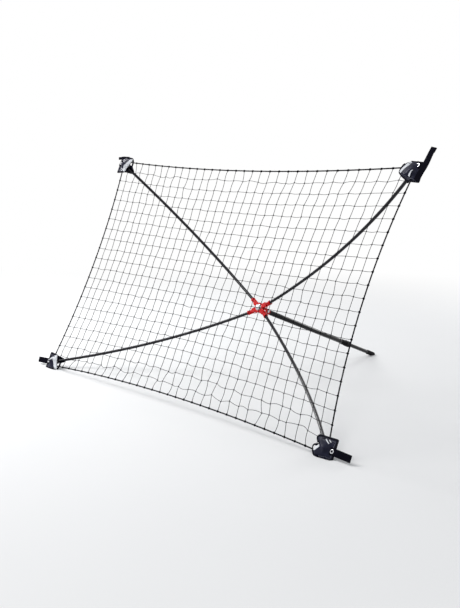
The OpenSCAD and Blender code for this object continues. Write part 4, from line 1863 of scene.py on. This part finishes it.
@dataclass
class PullTab:
    """A webbing tab: sewn to the pocket's flap, hemmed at its free end, with a metal eyelet."""

    layout: Layout
    corner: Corner
    width: float = 24.0 * MM
    thick: float = 2.3 * MM
    start: float = 13.0 * MM
    lift: float = 2.75 * MM
    hem: float = 17.0 * MM
    eyelet_at: float = 23.0 * MM
    bore: float = 4.0 * MM
    rim: float = 7.0 * MM

    @property
    def folds(self) -> int:
        """Layers that the strap is folded in: two at the upper left."""
        return 2 if self.corner is Corner.TOP_LEFT else 1

    def angle(self) -> float:
        """Direction of the tab, from level towards the net's outer edge."""
        degrees = {Corner.TOP_RIGHT: 62.0, Corner.TOP_LEFT: 12.0}.get(self.corner, 4.0)
        return math.radians(degrees)

    def place(self) -> Place:
        """The corner, with x along the tab.

        Returns:
            The place.
        """
        base = self.layout.corner(self.corner)
        c, s = math.cos(self.angle()), math.sin(self.angle())
        return Place(base.origin, base.x * c + base.y * s, base.y * c - base.x * s, base.z)

    def reach(self) -> tuple[float, float]:
        """Where the strap starts and ends along the tab's direction.

        The upper right strap runs down over the pocket's outer edge, and the upper left one lies
        along the pocket's top.

        Returns:
            Both, in metres from the pole's tip.
        """
        spans = {Corner.TOP_RIGHT: (-18.0, 98.0), Corner.TOP_LEFT: (-13.0, 76.0)}
        first, last = spans.get(self.corner, (13.0, 98.0))
        return first * MM, last * MM

    def aside(self, x: Array) -> Array:
        """How far the strap's middle lies beside the tab's own line, in the net's plane.

        Args:
            x: metres along the tab from the pole's tip.

        Returns:
            Metres to the side.
        """
        at, slope = {Corner.TOP_RIGHT: (-31.5, 0.25), Corner.TOP_LEFT: (33.1, -0.177)}.get(
            self.corner, (0.0, 0.0)
        )
        return at * MM + slope * x

    def line(self, x: Array) -> Array:
        """Height of the strap's middle: flat over the flap, then a slow curl in its free part.

        Args:
            x: metres along the tab from the pole's tip.

        Returns:
            Metres off the net's plane.
        """
        if self.corner is Corner.TOP_LEFT:
            return self.lift - 10.5 * MM * ease((x - 22 * MM) / (52 * MM))
        free = np.clip(x - 34 * MM, 0.0, None)
        wave = 0.035 if self.corner is Corner.TOP_RIGHT else 0.02
        over = 1.9 * MM * ease((30 * MM - x) / (22 * MM)) * (self.corner is Corner.TOP_RIGHT)
        return self.lift + over + wave * free * np.sin(free / (26 * MM)) * 2.0

    def twist(self, x: Array) -> Array:
        """Turn of the strap about its own length: the upper left one hangs upright.

        Args:
            x: metres along the tab from the pole's tip.

        Returns:
            The turn in radians.
        """
        if self.corner is Corner.TOP_LEFT:
            return 0 * x - self.layout.lean
        return math.radians(7.0) * ease((x - 36 * MM) / (45 * MM))

    def ribbon(self, x: Array, under: float, half: float) -> Skin:
        """A strip of webbing along the strap's own line, that far under it.

        The upper left one is folded lengthwise, so that it is half as wide and twice as thick.

        Args:
            x: metres along the tab from the pole's tip.
            under: in metres.
            half: half the strip's width, laid flat.

        Returns:
            The strip's skin.
        """
        place, turn = self.place(), self.twist(x)
        lead = np.cos(turn)[:, None] * place.z + np.sin(turn)[:, None] * place.y
        line = place.at(x, self.aside(x), self.line(x)) - lead * under
        section = flat_section(half / self.folds, self.thick / 2 * self.folds, 20)
        return swept_skin(line, section, lead)

    def strap(self) -> Skin:
        """The webbing, folded back under itself at its end, and a patch under the eyelet.

        Returns:
            The skin of all three.
        """
        first, last = self.reach()
        end = last - 1.2 * MM
        skin = self.ribbon(np.linspace(first, end, 70), 0.0, self.width / 2)
        hem = np.linspace(last - self.hem, end, 14)
        skin += self.ribbon(hem, self.thick * self.folds, self.width / 2 - 0.3 * MM)
        if self.corner.level > 0:
            place = self.place()
            patch = place.at(np.linspace(self.start, 34 * MM, 12), 0.0, self.lift)
            skin += swept_skin(patch, flat_section(self.width / 2, self.thick / 2, 20), place.z)
        return skin

    def sewing(self) -> Skin:
        """A sewn box round the eyelet's outer side, and two bars across the hem.

        Returns:
            The stitches' skin.
        """
        place, half = self.place(), self.width / 2 - 3 * MM
        top = self.lift + self.thick / 2 + 0.1 * MM
        near, far = 15 * MM, 32.0 * MM
        corners = [[near, -half], [far, -half], [far, half], [near, half], [near, -half]]
        box = place.at(*resample(np.array(corners), 80).T, top)
        skin = stitch_skin(box, place.z, 3.0 * MM, 2.3 * MM, 0.7 * MM)
        for back in (4.0 * MM, self.hem - 2.5 * MM):
            at = np.array(self.reach()[1] - back)
            turn = float(self.twist(at))
            lead = math.cos(turn) * place.z + math.sin(turn) * place.y
            side = math.cos(turn) * place.y - math.sin(turn) * place.z
            middle = place.at(at, self.aside(at), self.line(at))
            middle = middle + lead * (self.thick / 2 * self.folds)
            row = middle + np.linspace(-half, half, 12)[:, None] * side / self.folds
            skin += stitch_skin(row, lead, 2.6 * MM, 2.0 * MM, 0.7 * MM)
        return skin

    def eyelet(self) -> Skin:
        """A rolled ring: its lip is a half round in front and behind, joined by a short neck.

        Returns:
            The ring's skin.
        """
        base = self.place()
        place = Place(base.at(self.eyelet_at, 0.0, 0.0), base.x, base.y, base.z)
        back, front = -2.5 * MM, 5.0 * MM
        lip = np.array(
            [
                [self.bore, back + 0.5 * MM],
                [self.bore + 0.5 * MM, back],
                [self.rim - 0.4 * MM, back + 0.25 * MM],
                [self.rim, back + 1.0 * MM],
                [self.bore + 0.7 * MM, back + 1.0 * MM],
                [self.bore + 0.7 * MM, front - 1.0 * MM],
                [self.rim, front - 1.0 * MM],
                [self.rim - 0.4 * MM, front - 0.25 * MM],
                [self.bore + 0.5 * MM, front],
                [self.bore, front - 0.5 * MM],
                [self.bore, back + 0.5 * MM],
            ]
        )
        return place.turned(eased_profile(lip, 0.5 * MM)[:-1], 40, loop=True)

    def build(self) -> list[Any]:
        """Makes the tab, its sewing and its eyelet.

        Returns:
            The tab's objects.
        """
        label = self.corner.label
        strap = piece_from("webbing_tab_" + label, self.strap(), WEBBING, 60.0)
        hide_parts("pull_tab_" + label)
        ring = piece_from("rolled_eyelet_" + label, self.eyelet(), BRIGHT)
        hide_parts("eyelet_" + label)
        sewing = piece_from("tab_sewing_" + label, self.sewing(), DARK_THREAD)
        return [strap, ring, sewing]


@dataclass
class Arm:
    """One arm: socket, pole, tip cap, pocket, tab and eyelet, all on one body."""

    layout: Layout
    corner: Corner
    cap_radius: float = 7.4 * MM
    cap_grip: float = 15.0 * MM
    cap_floor: float = 3.0 * MM

    def cap(self, pole: Pole) -> Any:
        """The plastic cap on the pole's tip, with three grip rings.

        Args:
            pole: the pole that it sits on.

        Returns:
            The object.
        """
        inner = pole.end_radius + FIT
        profile = [(0.0, FIT), (inner, FIT), (inner, -self.cap_grip)]
        profile += [(self.cap_radius, -self.cap_grip)]
        for k in range(3):
            z = -self.cap_grip + (3.5 + 3.2 * k) * MM
            low = self.cap_radius - 0.5 * MM
            profile += [(self.cap_radius, z), (low, z + 0.5 * MM)]
            profile += [(low, z + 1.2 * MM), (self.cap_radius, z + 1.7 * MM)]
        profile += [(self.cap_radius, self.cap_floor), (0.0, self.cap_floor)]
        skin = pole.tip().turned(eased_profile(profile, 0.9 * MM), 40)
        piece = piece_from("pole_tip_cap_" + self.corner.label, skin, BLACK)
        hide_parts("tip_cap_" + self.corner.label)
        return piece

    def build(self) -> None:
        """Makes the arm's pieces and lets them ride on its body."""
        label = self.corner.label
        pole = Pole(self.layout, self.corner)
        node = "socket_" + label
        pieces = [
            softened_copy("socket_moulding_" + label, node, RED, 0.7 * MM),
            pole.build(),
            self.cap(pole),
            *Pocket(self.layout, self.corner, pole).build(),
            *PullTab(self.layout, self.corner).build(),
        ]
        for piece in pieces:
            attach(piece, "arm_" + label)
        log.info("arm %s: %d pieces", label, len(pieces))


# ---- Hub ----


@dataclass
class Hub:
    """The folding hub: body, front plate, centre bolt, dome, hinge pins and leg bracket."""

    layout: Layout
    plate_front: float = 10.6 * MM
    dome: float = 11.5 * MM
    dome_high: float = 9.0 * MM
    washer: float = 13.0 * MM
    washer_thick: float = 1.5 * MM
    bolt: float = 3.0 * MM
    pin: float = 2.0 * MM
    ear_span: float = 18.4 * MM
    pin_head: float = 3.2 * MM
    pin_head_thick: float = 1.0 * MM

    def dome_nut(self) -> Any:
        """The domed nut: an ellipse turned round, on a short foot with a rolled edge.

        Returns:
            The object.
        """
        turn = np.linspace(0.0, math.pi / 2, 18)
        foot = self.plate_front + self.washer_thick
        rise = self.dome_high - 2 * MM
        cap = np.stack([self.dome * np.cos(turn), foot + 2 * MM + rise * np.sin(turn)], axis=1)
        rim = 0.8 * MM
        low = np.array([[self.bolt, foot], [self.dome - rim, foot], [self.dome, foot + rim]])
        inner = np.array([[0.0, foot + 6 * MM], [self.bolt, foot + 6 * MM]])
        skin = self.layout.hub.turned(np.concatenate([inner, low, cap]), 64)
        piece = piece_from("domed_nut", skin, BRIGHT)
        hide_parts("dome_nut")
        return piece

    def washer_ring(self) -> Any:
        """The plain washer under the dome.

        Returns:
            The object.
        """
        low, high = self.plate_front, self.plate_front + self.washer_thick
        bore, out = self.bolt + FIT, self.washer
        corners = [(bore, low), (out, low), (out, high), (bore, high), (bore, low)]
        profile = eased_profile(corners, 0.35 * MM)[:-1]
        skin = self.layout.hub.turned(profile, 64, loop=True)
        piece = piece_from("plain_washer", skin, ZINC)
        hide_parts("centre_washer")
        return piece

    def pins(self) -> Any:
        """The four hinge pins, with low domed heads, as one group.

        Returns:
            The object.
        """
        half = self.ear_span / 2
        turn = np.linspace(0.0, math.pi / 2, 7)
        high = half + self.pin_head_thick * (0.35 + 0.65 * np.sin(turn))
        head = np.stack([self.pin_head * np.cos(turn), high], axis=1)
        side = np.concatenate([[[self.pin, 0.0]], [[self.pin, half], [self.pin_head, half]], head])
        profile = np.concatenate([side[::-1] * np.array([1, -1]), side[1:]])[::-1]
        planes = [Pole(self.layout, corner).plane() for corner in Corner]
        pins = [Place(p.origin, p.x, -p.z, p.y).turned(profile, 28) for p in planes]
        piece = piece_from("domed_hinge_pins", joined(pins), ZINC)
        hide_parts("pole_hinge_pins")
        return piece

    def build(self) -> None:
        """Makes the hub's pieces and lets them ride on the hub."""
        pieces = [
            softened_copy("hub_moulding", "hub_body", RED, 0.8 * MM),
            softened_copy("star_plate", "hub_front_plate", RED, 0.7 * MM),
            softened_copy("hexagon_bolt", "centre_bolt", ZINC, 0.35 * MM),
            # the bracket's darker red is painted shade
            softened_copy(
                "leg_bracket_moulding", "leg_bracket", SHADED_RED, 0.8 * MM
            ),
            softened_copy("leg_bolt", "leg_pivot_bolt", ZINC, 0.7 * MM),
            softened_copy("leg_nut", "leg_pivot_nut", ZINC, 0.4 * MM),
            self.dome_nut(),
            self.washer_ring(),
            self.pins(),
        ]
        for piece in pieces:
            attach(piece, "hub")
        log.info("hub: %d pieces", len(pieces))


# ---- Leg ----


@dataclass
class Leg:
    """The telescopic leg: plug, outer tube, twist lock, inner tube and rubber foot."""

    layout: Layout
    outer: float = 10.25 * MM
    inner: float = 8.5 * MM
    wall: float = 1.2 * MM
    shoulder: float = 20.0 * MM
    outer_end: float = 564.0 * MM
    lock_start: float = 538.0 * MM
    lock_taper: float = 16.0 * MM
    lock_end: float = 586.0 * MM
    collar_start: float = 570.0 * MM
    collar_end: float = 606.0 * MM
    collar: float = 13.5 * MM
    collar_taper: float = 8.0 * MM
    nose: float = 11.3 * MM
    bush: float = 10.1 * MM
    foot: float = 10.25 * MM
    inner_start: float = 286.0 * MM
    inner_end: float = 783.0 * MM
    foot_start: float = 751.0 * MM
    foot_end: float = 804.38 * MM
    flutes: int = 12

    @property
    def throat(self) -> float:
        """Radius that the lock leaves round the inner tube."""
        return self.inner + 0.08 * MM

    def tube(self, name: str, node: str, radius: float, start: float, end: float) -> Any:
        """A tube with a wall and eased ends.

        Args:
            name: the piece's name.
            node: the CAD node that it stands for.
            radius: outside.
            start: metres down the leg from its bolt.
            end: the same, for the other end.

        Returns:
            The object.
        """
        bore = radius - self.wall
        corners = [(bore, start), (radius, start), (radius, end), (bore, end), (bore, start)]
        profile = eased_profile(corners, 0.4 * MM, 3)
        skin = self.layout.leg.turned(profile[:-1], 48, loop=True)
        piece = piece_from(name, skin, LEG)
        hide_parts(node)
        return piece

    def lock_body(self) -> Any:
        """The fixed lock body, with shallow grip rings round its waist.

        Returns:
            The object.
        """
        r, gap = self.collar - 1.5 * MM, FIT
        throat, bush = self.throat, self.bush + gap
        waist = self.lock_start + self.lock_taper
        profile = [(self.outer + gap, self.lock_start), (self.outer + 0.8 * MM, self.lock_start)]
        profile += [(r, waist)]
        for k in range(3):
            z = waist + (1.5 + 4.4 * k) * MM
            low = r - 0.7 * MM
            profile += [(r, z), (low, z + 0.8 * MM), (low, z + 2 * MM), (r, z + 2.8 * MM)]
        end = self.collar_start - 0.3 * MM
        profile += [(r, end), (self.nose, end), (self.nose, self.lock_end), (bush, self.lock_end)]
        profile += [(bush, self.outer_end + 3 * MM), (throat, self.outer_end + 3 * MM)]
        profile += [(throat, self.outer_end + gap), (self.outer + gap, self.outer_end + gap)]
        profile += [profile[0]]
        skin = self.layout.leg.turned(eased_profile(profile, 0.5 * MM, 3)[:-1], 48, loop=True)
        piece = piece_from("lock_body_moulding", skin, BLACK)
        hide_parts("leg_lock_body")
        return piece

    def twist_collar(self) -> Any:
        """The fluted collar: its radius dips by a rounded flute twelve times round its waist.

        Returns:
            The object.
        """
        gap, throat = self.nose + 0.05 * MM, self.throat
        cavity = self.lock_end + 5 * MM
        profile = [(gap, self.collar_start), (self.collar - 1 * MM, self.collar_start)]
        profile += [(self.collar, self.collar_start + 2 * MM)]
        top = self.collar_end - self.collar_taper
        waist = np.linspace(self.collar_start + 4 * MM, top - 1 * MM, 14)
        profile += [(self.collar, float(z)) for z in waist]
        profile += [(self.collar, top), (self.collar - 3 * MM, self.collar_end)]
        profile += [(throat, self.collar_end), (throat, cavity + 3 * MM), (gap, cavity)]
        profile += [(gap, self.collar_start)]

        def fluted(r: Array, a: Array, h: Array) -> Array:
            """The radius less a flute, which fades out at both ends of the waist.

            Args:
                r: radii.
                a: angles.
                h: heights along the leg.

            Returns:
                The new radii.
            """
            low, high = self.collar_start + 3 * MM, top
            fade = ease((h - low) / (4 * MM)) * ease((high - h) / (4 * MM))
            groove = np.clip(np.cos(a * self.flutes), 0.0, 1.0) ** 1.5
            return np.where(r > self.collar - 2 * MM, r - 1.1 * MM * groove * fade, r)

        eased = eased_profile(profile, 0.6 * MM, 3)[:-1]
        skin = self.layout.leg.turned(eased, 144, fluted, loop=True)
        piece = piece_from("fluted_collar", skin, BLACK, 55.0)
        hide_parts("leg_twist_collar")
        return piece

    def rubber_foot(self) -> Any:
        """The ribbed rubber foot, worn flat where it stands.

        Returns:
            The object.
        """
        gap = FIT
        profile = [(self.inner + gap, self.foot_start), (self.foot - 1.2 * MM, self.foot_start)]
        profile += [(self.foot, self.foot_start + 2 * MM)]
        for k in range(4):
            z = self.foot_start + (7 + 6.5 * k) * MM
            profile += [(self.foot, z), (self.foot - 0.8 * MM, z + 1 * MM)]
            profile += [(self.foot - 0.8 * MM, z + 2.4 * MM), (self.foot, z + 3.4 * MM)]
        profile += [(self.foot, self.foot_end), (0.0, self.foot_end)]
        inside = [(0.0, self.inner_end + gap), (self.inner + gap, self.inner_end + gap)]
        profile = inside + profile
        skin = self.layout.leg.turned(eased_profile(profile, 0.7 * MM, 3), 48)
        skin = skin.moved(lambda p: np.column_stack([p[:, :2], np.maximum(p[:, 2], 0.0)]))
        piece = piece_from("ribbed_foot", skin, FOOT, 50.0)
        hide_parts("leg_foot")
        return piece

    def build(self) -> None:
        """Makes the leg's pieces and lets them ride on its three bodies."""
        upper = [
            # the plug's darker red is painted shade
            softened_copy(
                "leg_head_plug", "leg_top_plug", SHADED_RED, 0.8 * MM
            ),
            self.tube("outer_tube", "leg_outer_tube", self.outer, self.shoulder, self.outer_end),
            self.lock_body(),
            softened_copy("split_bush", "leg_lock_bush", NYLON, 0.25 * MM),
        ]
        lower = [
            self.tube("inner_tube", "leg_inner_tube", self.inner, self.inner_start, self.inner_end),
            softened_copy("inner_guide", "leg_inner_guide", NYLON, 0.3 * MM),
            self.rubber_foot(),
        ]
        for body, pieces in (
            ("leg_upper", upper),
            ("leg_collar", [self.twist_collar()]),
            ("leg_lower", lower),
        ):
            for piece in pieces:
                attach(piece, body)
        log.info("leg: %d pieces", len(upper) + len(lower) + 1)


# ---- Studio ----


@dataclass(frozen=True)
class Lamp:
    """A soft square lamp that looks at the object."""

    name: str
    place: tuple[float, float, float]
    size: float
    power: float
    aim: tuple[float, float, float] = (0.0, 0.0, 0.35)

    def build(self) -> None:
        """Adds the lamp, turned towards its aim."""
        data = bpy.data.lights.new(self.name, "AREA")
        data.size = self.size
        data.energy = self.power
        lamp = placed(self.name, data)
        lamp.visible_camera = False
        back = unit(np.array(self.place) - np.array(self.aim))
        lamp.matrix_world = facing(np.array(self.place), -back, 0.0)


def facing(place: Array, ahead: Array, roll: float) -> Matrix:
    """A matrix that stands at place and looks ahead, rolled by that angle in radians.

    Args:
        place: where it stands.
        ahead: where it looks, of length one.
        roll: in radians.

    Returns:
        The matrix.
    """
    right = unit(np.cross(ahead, [0.0, 0.0, 1.0]))
    up = np.cross(right, ahead)
    c, s = math.cos(roll), math.sin(roll)
    right, up = right * c + up * s, up * c - right * s
    rows = np.eye(4)
    rows[:3, 0], rows[:3, 1], rows[:3, 2], rows[:3, 3] = right, up, -ahead, place
    return Matrix(rows.tolist())


@dataclass
class Studio:
    """Floor, lamps, white surroundings and the camera."""

    eye: tuple[float, float, float] = (2.3386, -2.5980, 0.887)
    heading: tuple[float, float] = (-0.7148, 0.6993)
    pitch: float = 0.1649
    roll: float = 0.0158
    focal_px: float = 852.83
    long_side_px: float = 608.0
    sensor: float = 36.0
    glow: float = 0.45

    def camera(self) -> None:
        """Sets the camera: it looks along heading, tilted down by pitch and rolled."""
        data = bpy.data.cameras.new("camera")
        data.sensor_width = self.sensor
        data.lens = self.focal_px / self.long_side_px * self.sensor
        data.clip_start, data.clip_end = 0.05, 200.0
        camera = placed("camera", data)
        flat = unit(np.array(self.heading))
        c, s = math.cos(self.pitch), math.sin(self.pitch)
        ahead = np.array([flat[0] * c, flat[1] * c, -s])
        camera.matrix_world = facing(np.array(self.eye), ahead, self.roll)
        bpy.context.scene.camera = camera

    def floor(self) -> None:
        """A wide flat floor, as a grid at z = 0."""
        line = np.linspace(-60.0, 60.0, 25)
        x, y = np.meshgrid(line, line, indexing="ij")
        skin = grid_skin(np.stack([x, y, 0 * x], axis=-1), line, line)
        mesh = bpy.data.meshes.new("floor")
        mesh.from_pydata(skin.points.tolist(), [], skin.faces.tolist())
        mesh.materials.append(FLOOR.material())
        floor = placed("floor", mesh)

    def world(self) -> None:
        """Soft grey-white light all round; plain white to the eye and in reflections."""
        world = bpy.data.worlds.new("studio")
        world.use_nodes = True
        bpy.context.scene.world = world
        board = Board(world.node_tree)
        glow, white = (
            board.node("ShaderNodeBackground", {}, {"Color": (*colour, 1.0), "Strength": strength})
            for colour, strength in (((0.93, 0.96, 1.0), self.glow), ((1.0, 1.0, 1.0), 1.0))
        )
        mix = board.node(
            "ShaderNodeMixShader",
            {},
            {0: board.looked_at(), 1: glow.outputs[0], 2: white.outputs[0]},
        )
        board.node("ShaderNodeOutputWorld", {}, {"Surface": mix.outputs[0]})

    def build(self) -> None:
        """Sets the whole studio."""
        self.camera()
        self.floor()
        self.world()
        for lamp in (
            Lamp("key", (-1.8, -2.2, 3.1), 2.2, 120.0),
            Lamp("side", (-3.8, 0.0, 2.3), 1.3, 60.0),
            Lamp("back", (0.6, 4.2, 1.7), 1.6, 50.0),
            Lamp("fill", (3.6, -1.0, 2.2), 1.2, 12.0),
        ):
            lamp.build()
        bpy.context.scene.view_settings.view_transform = "Standard"


def main() -> None:
    """Builds the studio and the object."""
    logging.basicConfig(level=logging.INFO, format="%(message)s")
    layout = Layout()
    Studio().build()
    Netting(layout).build()
    for corner in Corner:
        Arm(layout, corner).build()
    Hub(layout).build()
    Leg(layout).build()


if __name__ == "__main__":
    main()
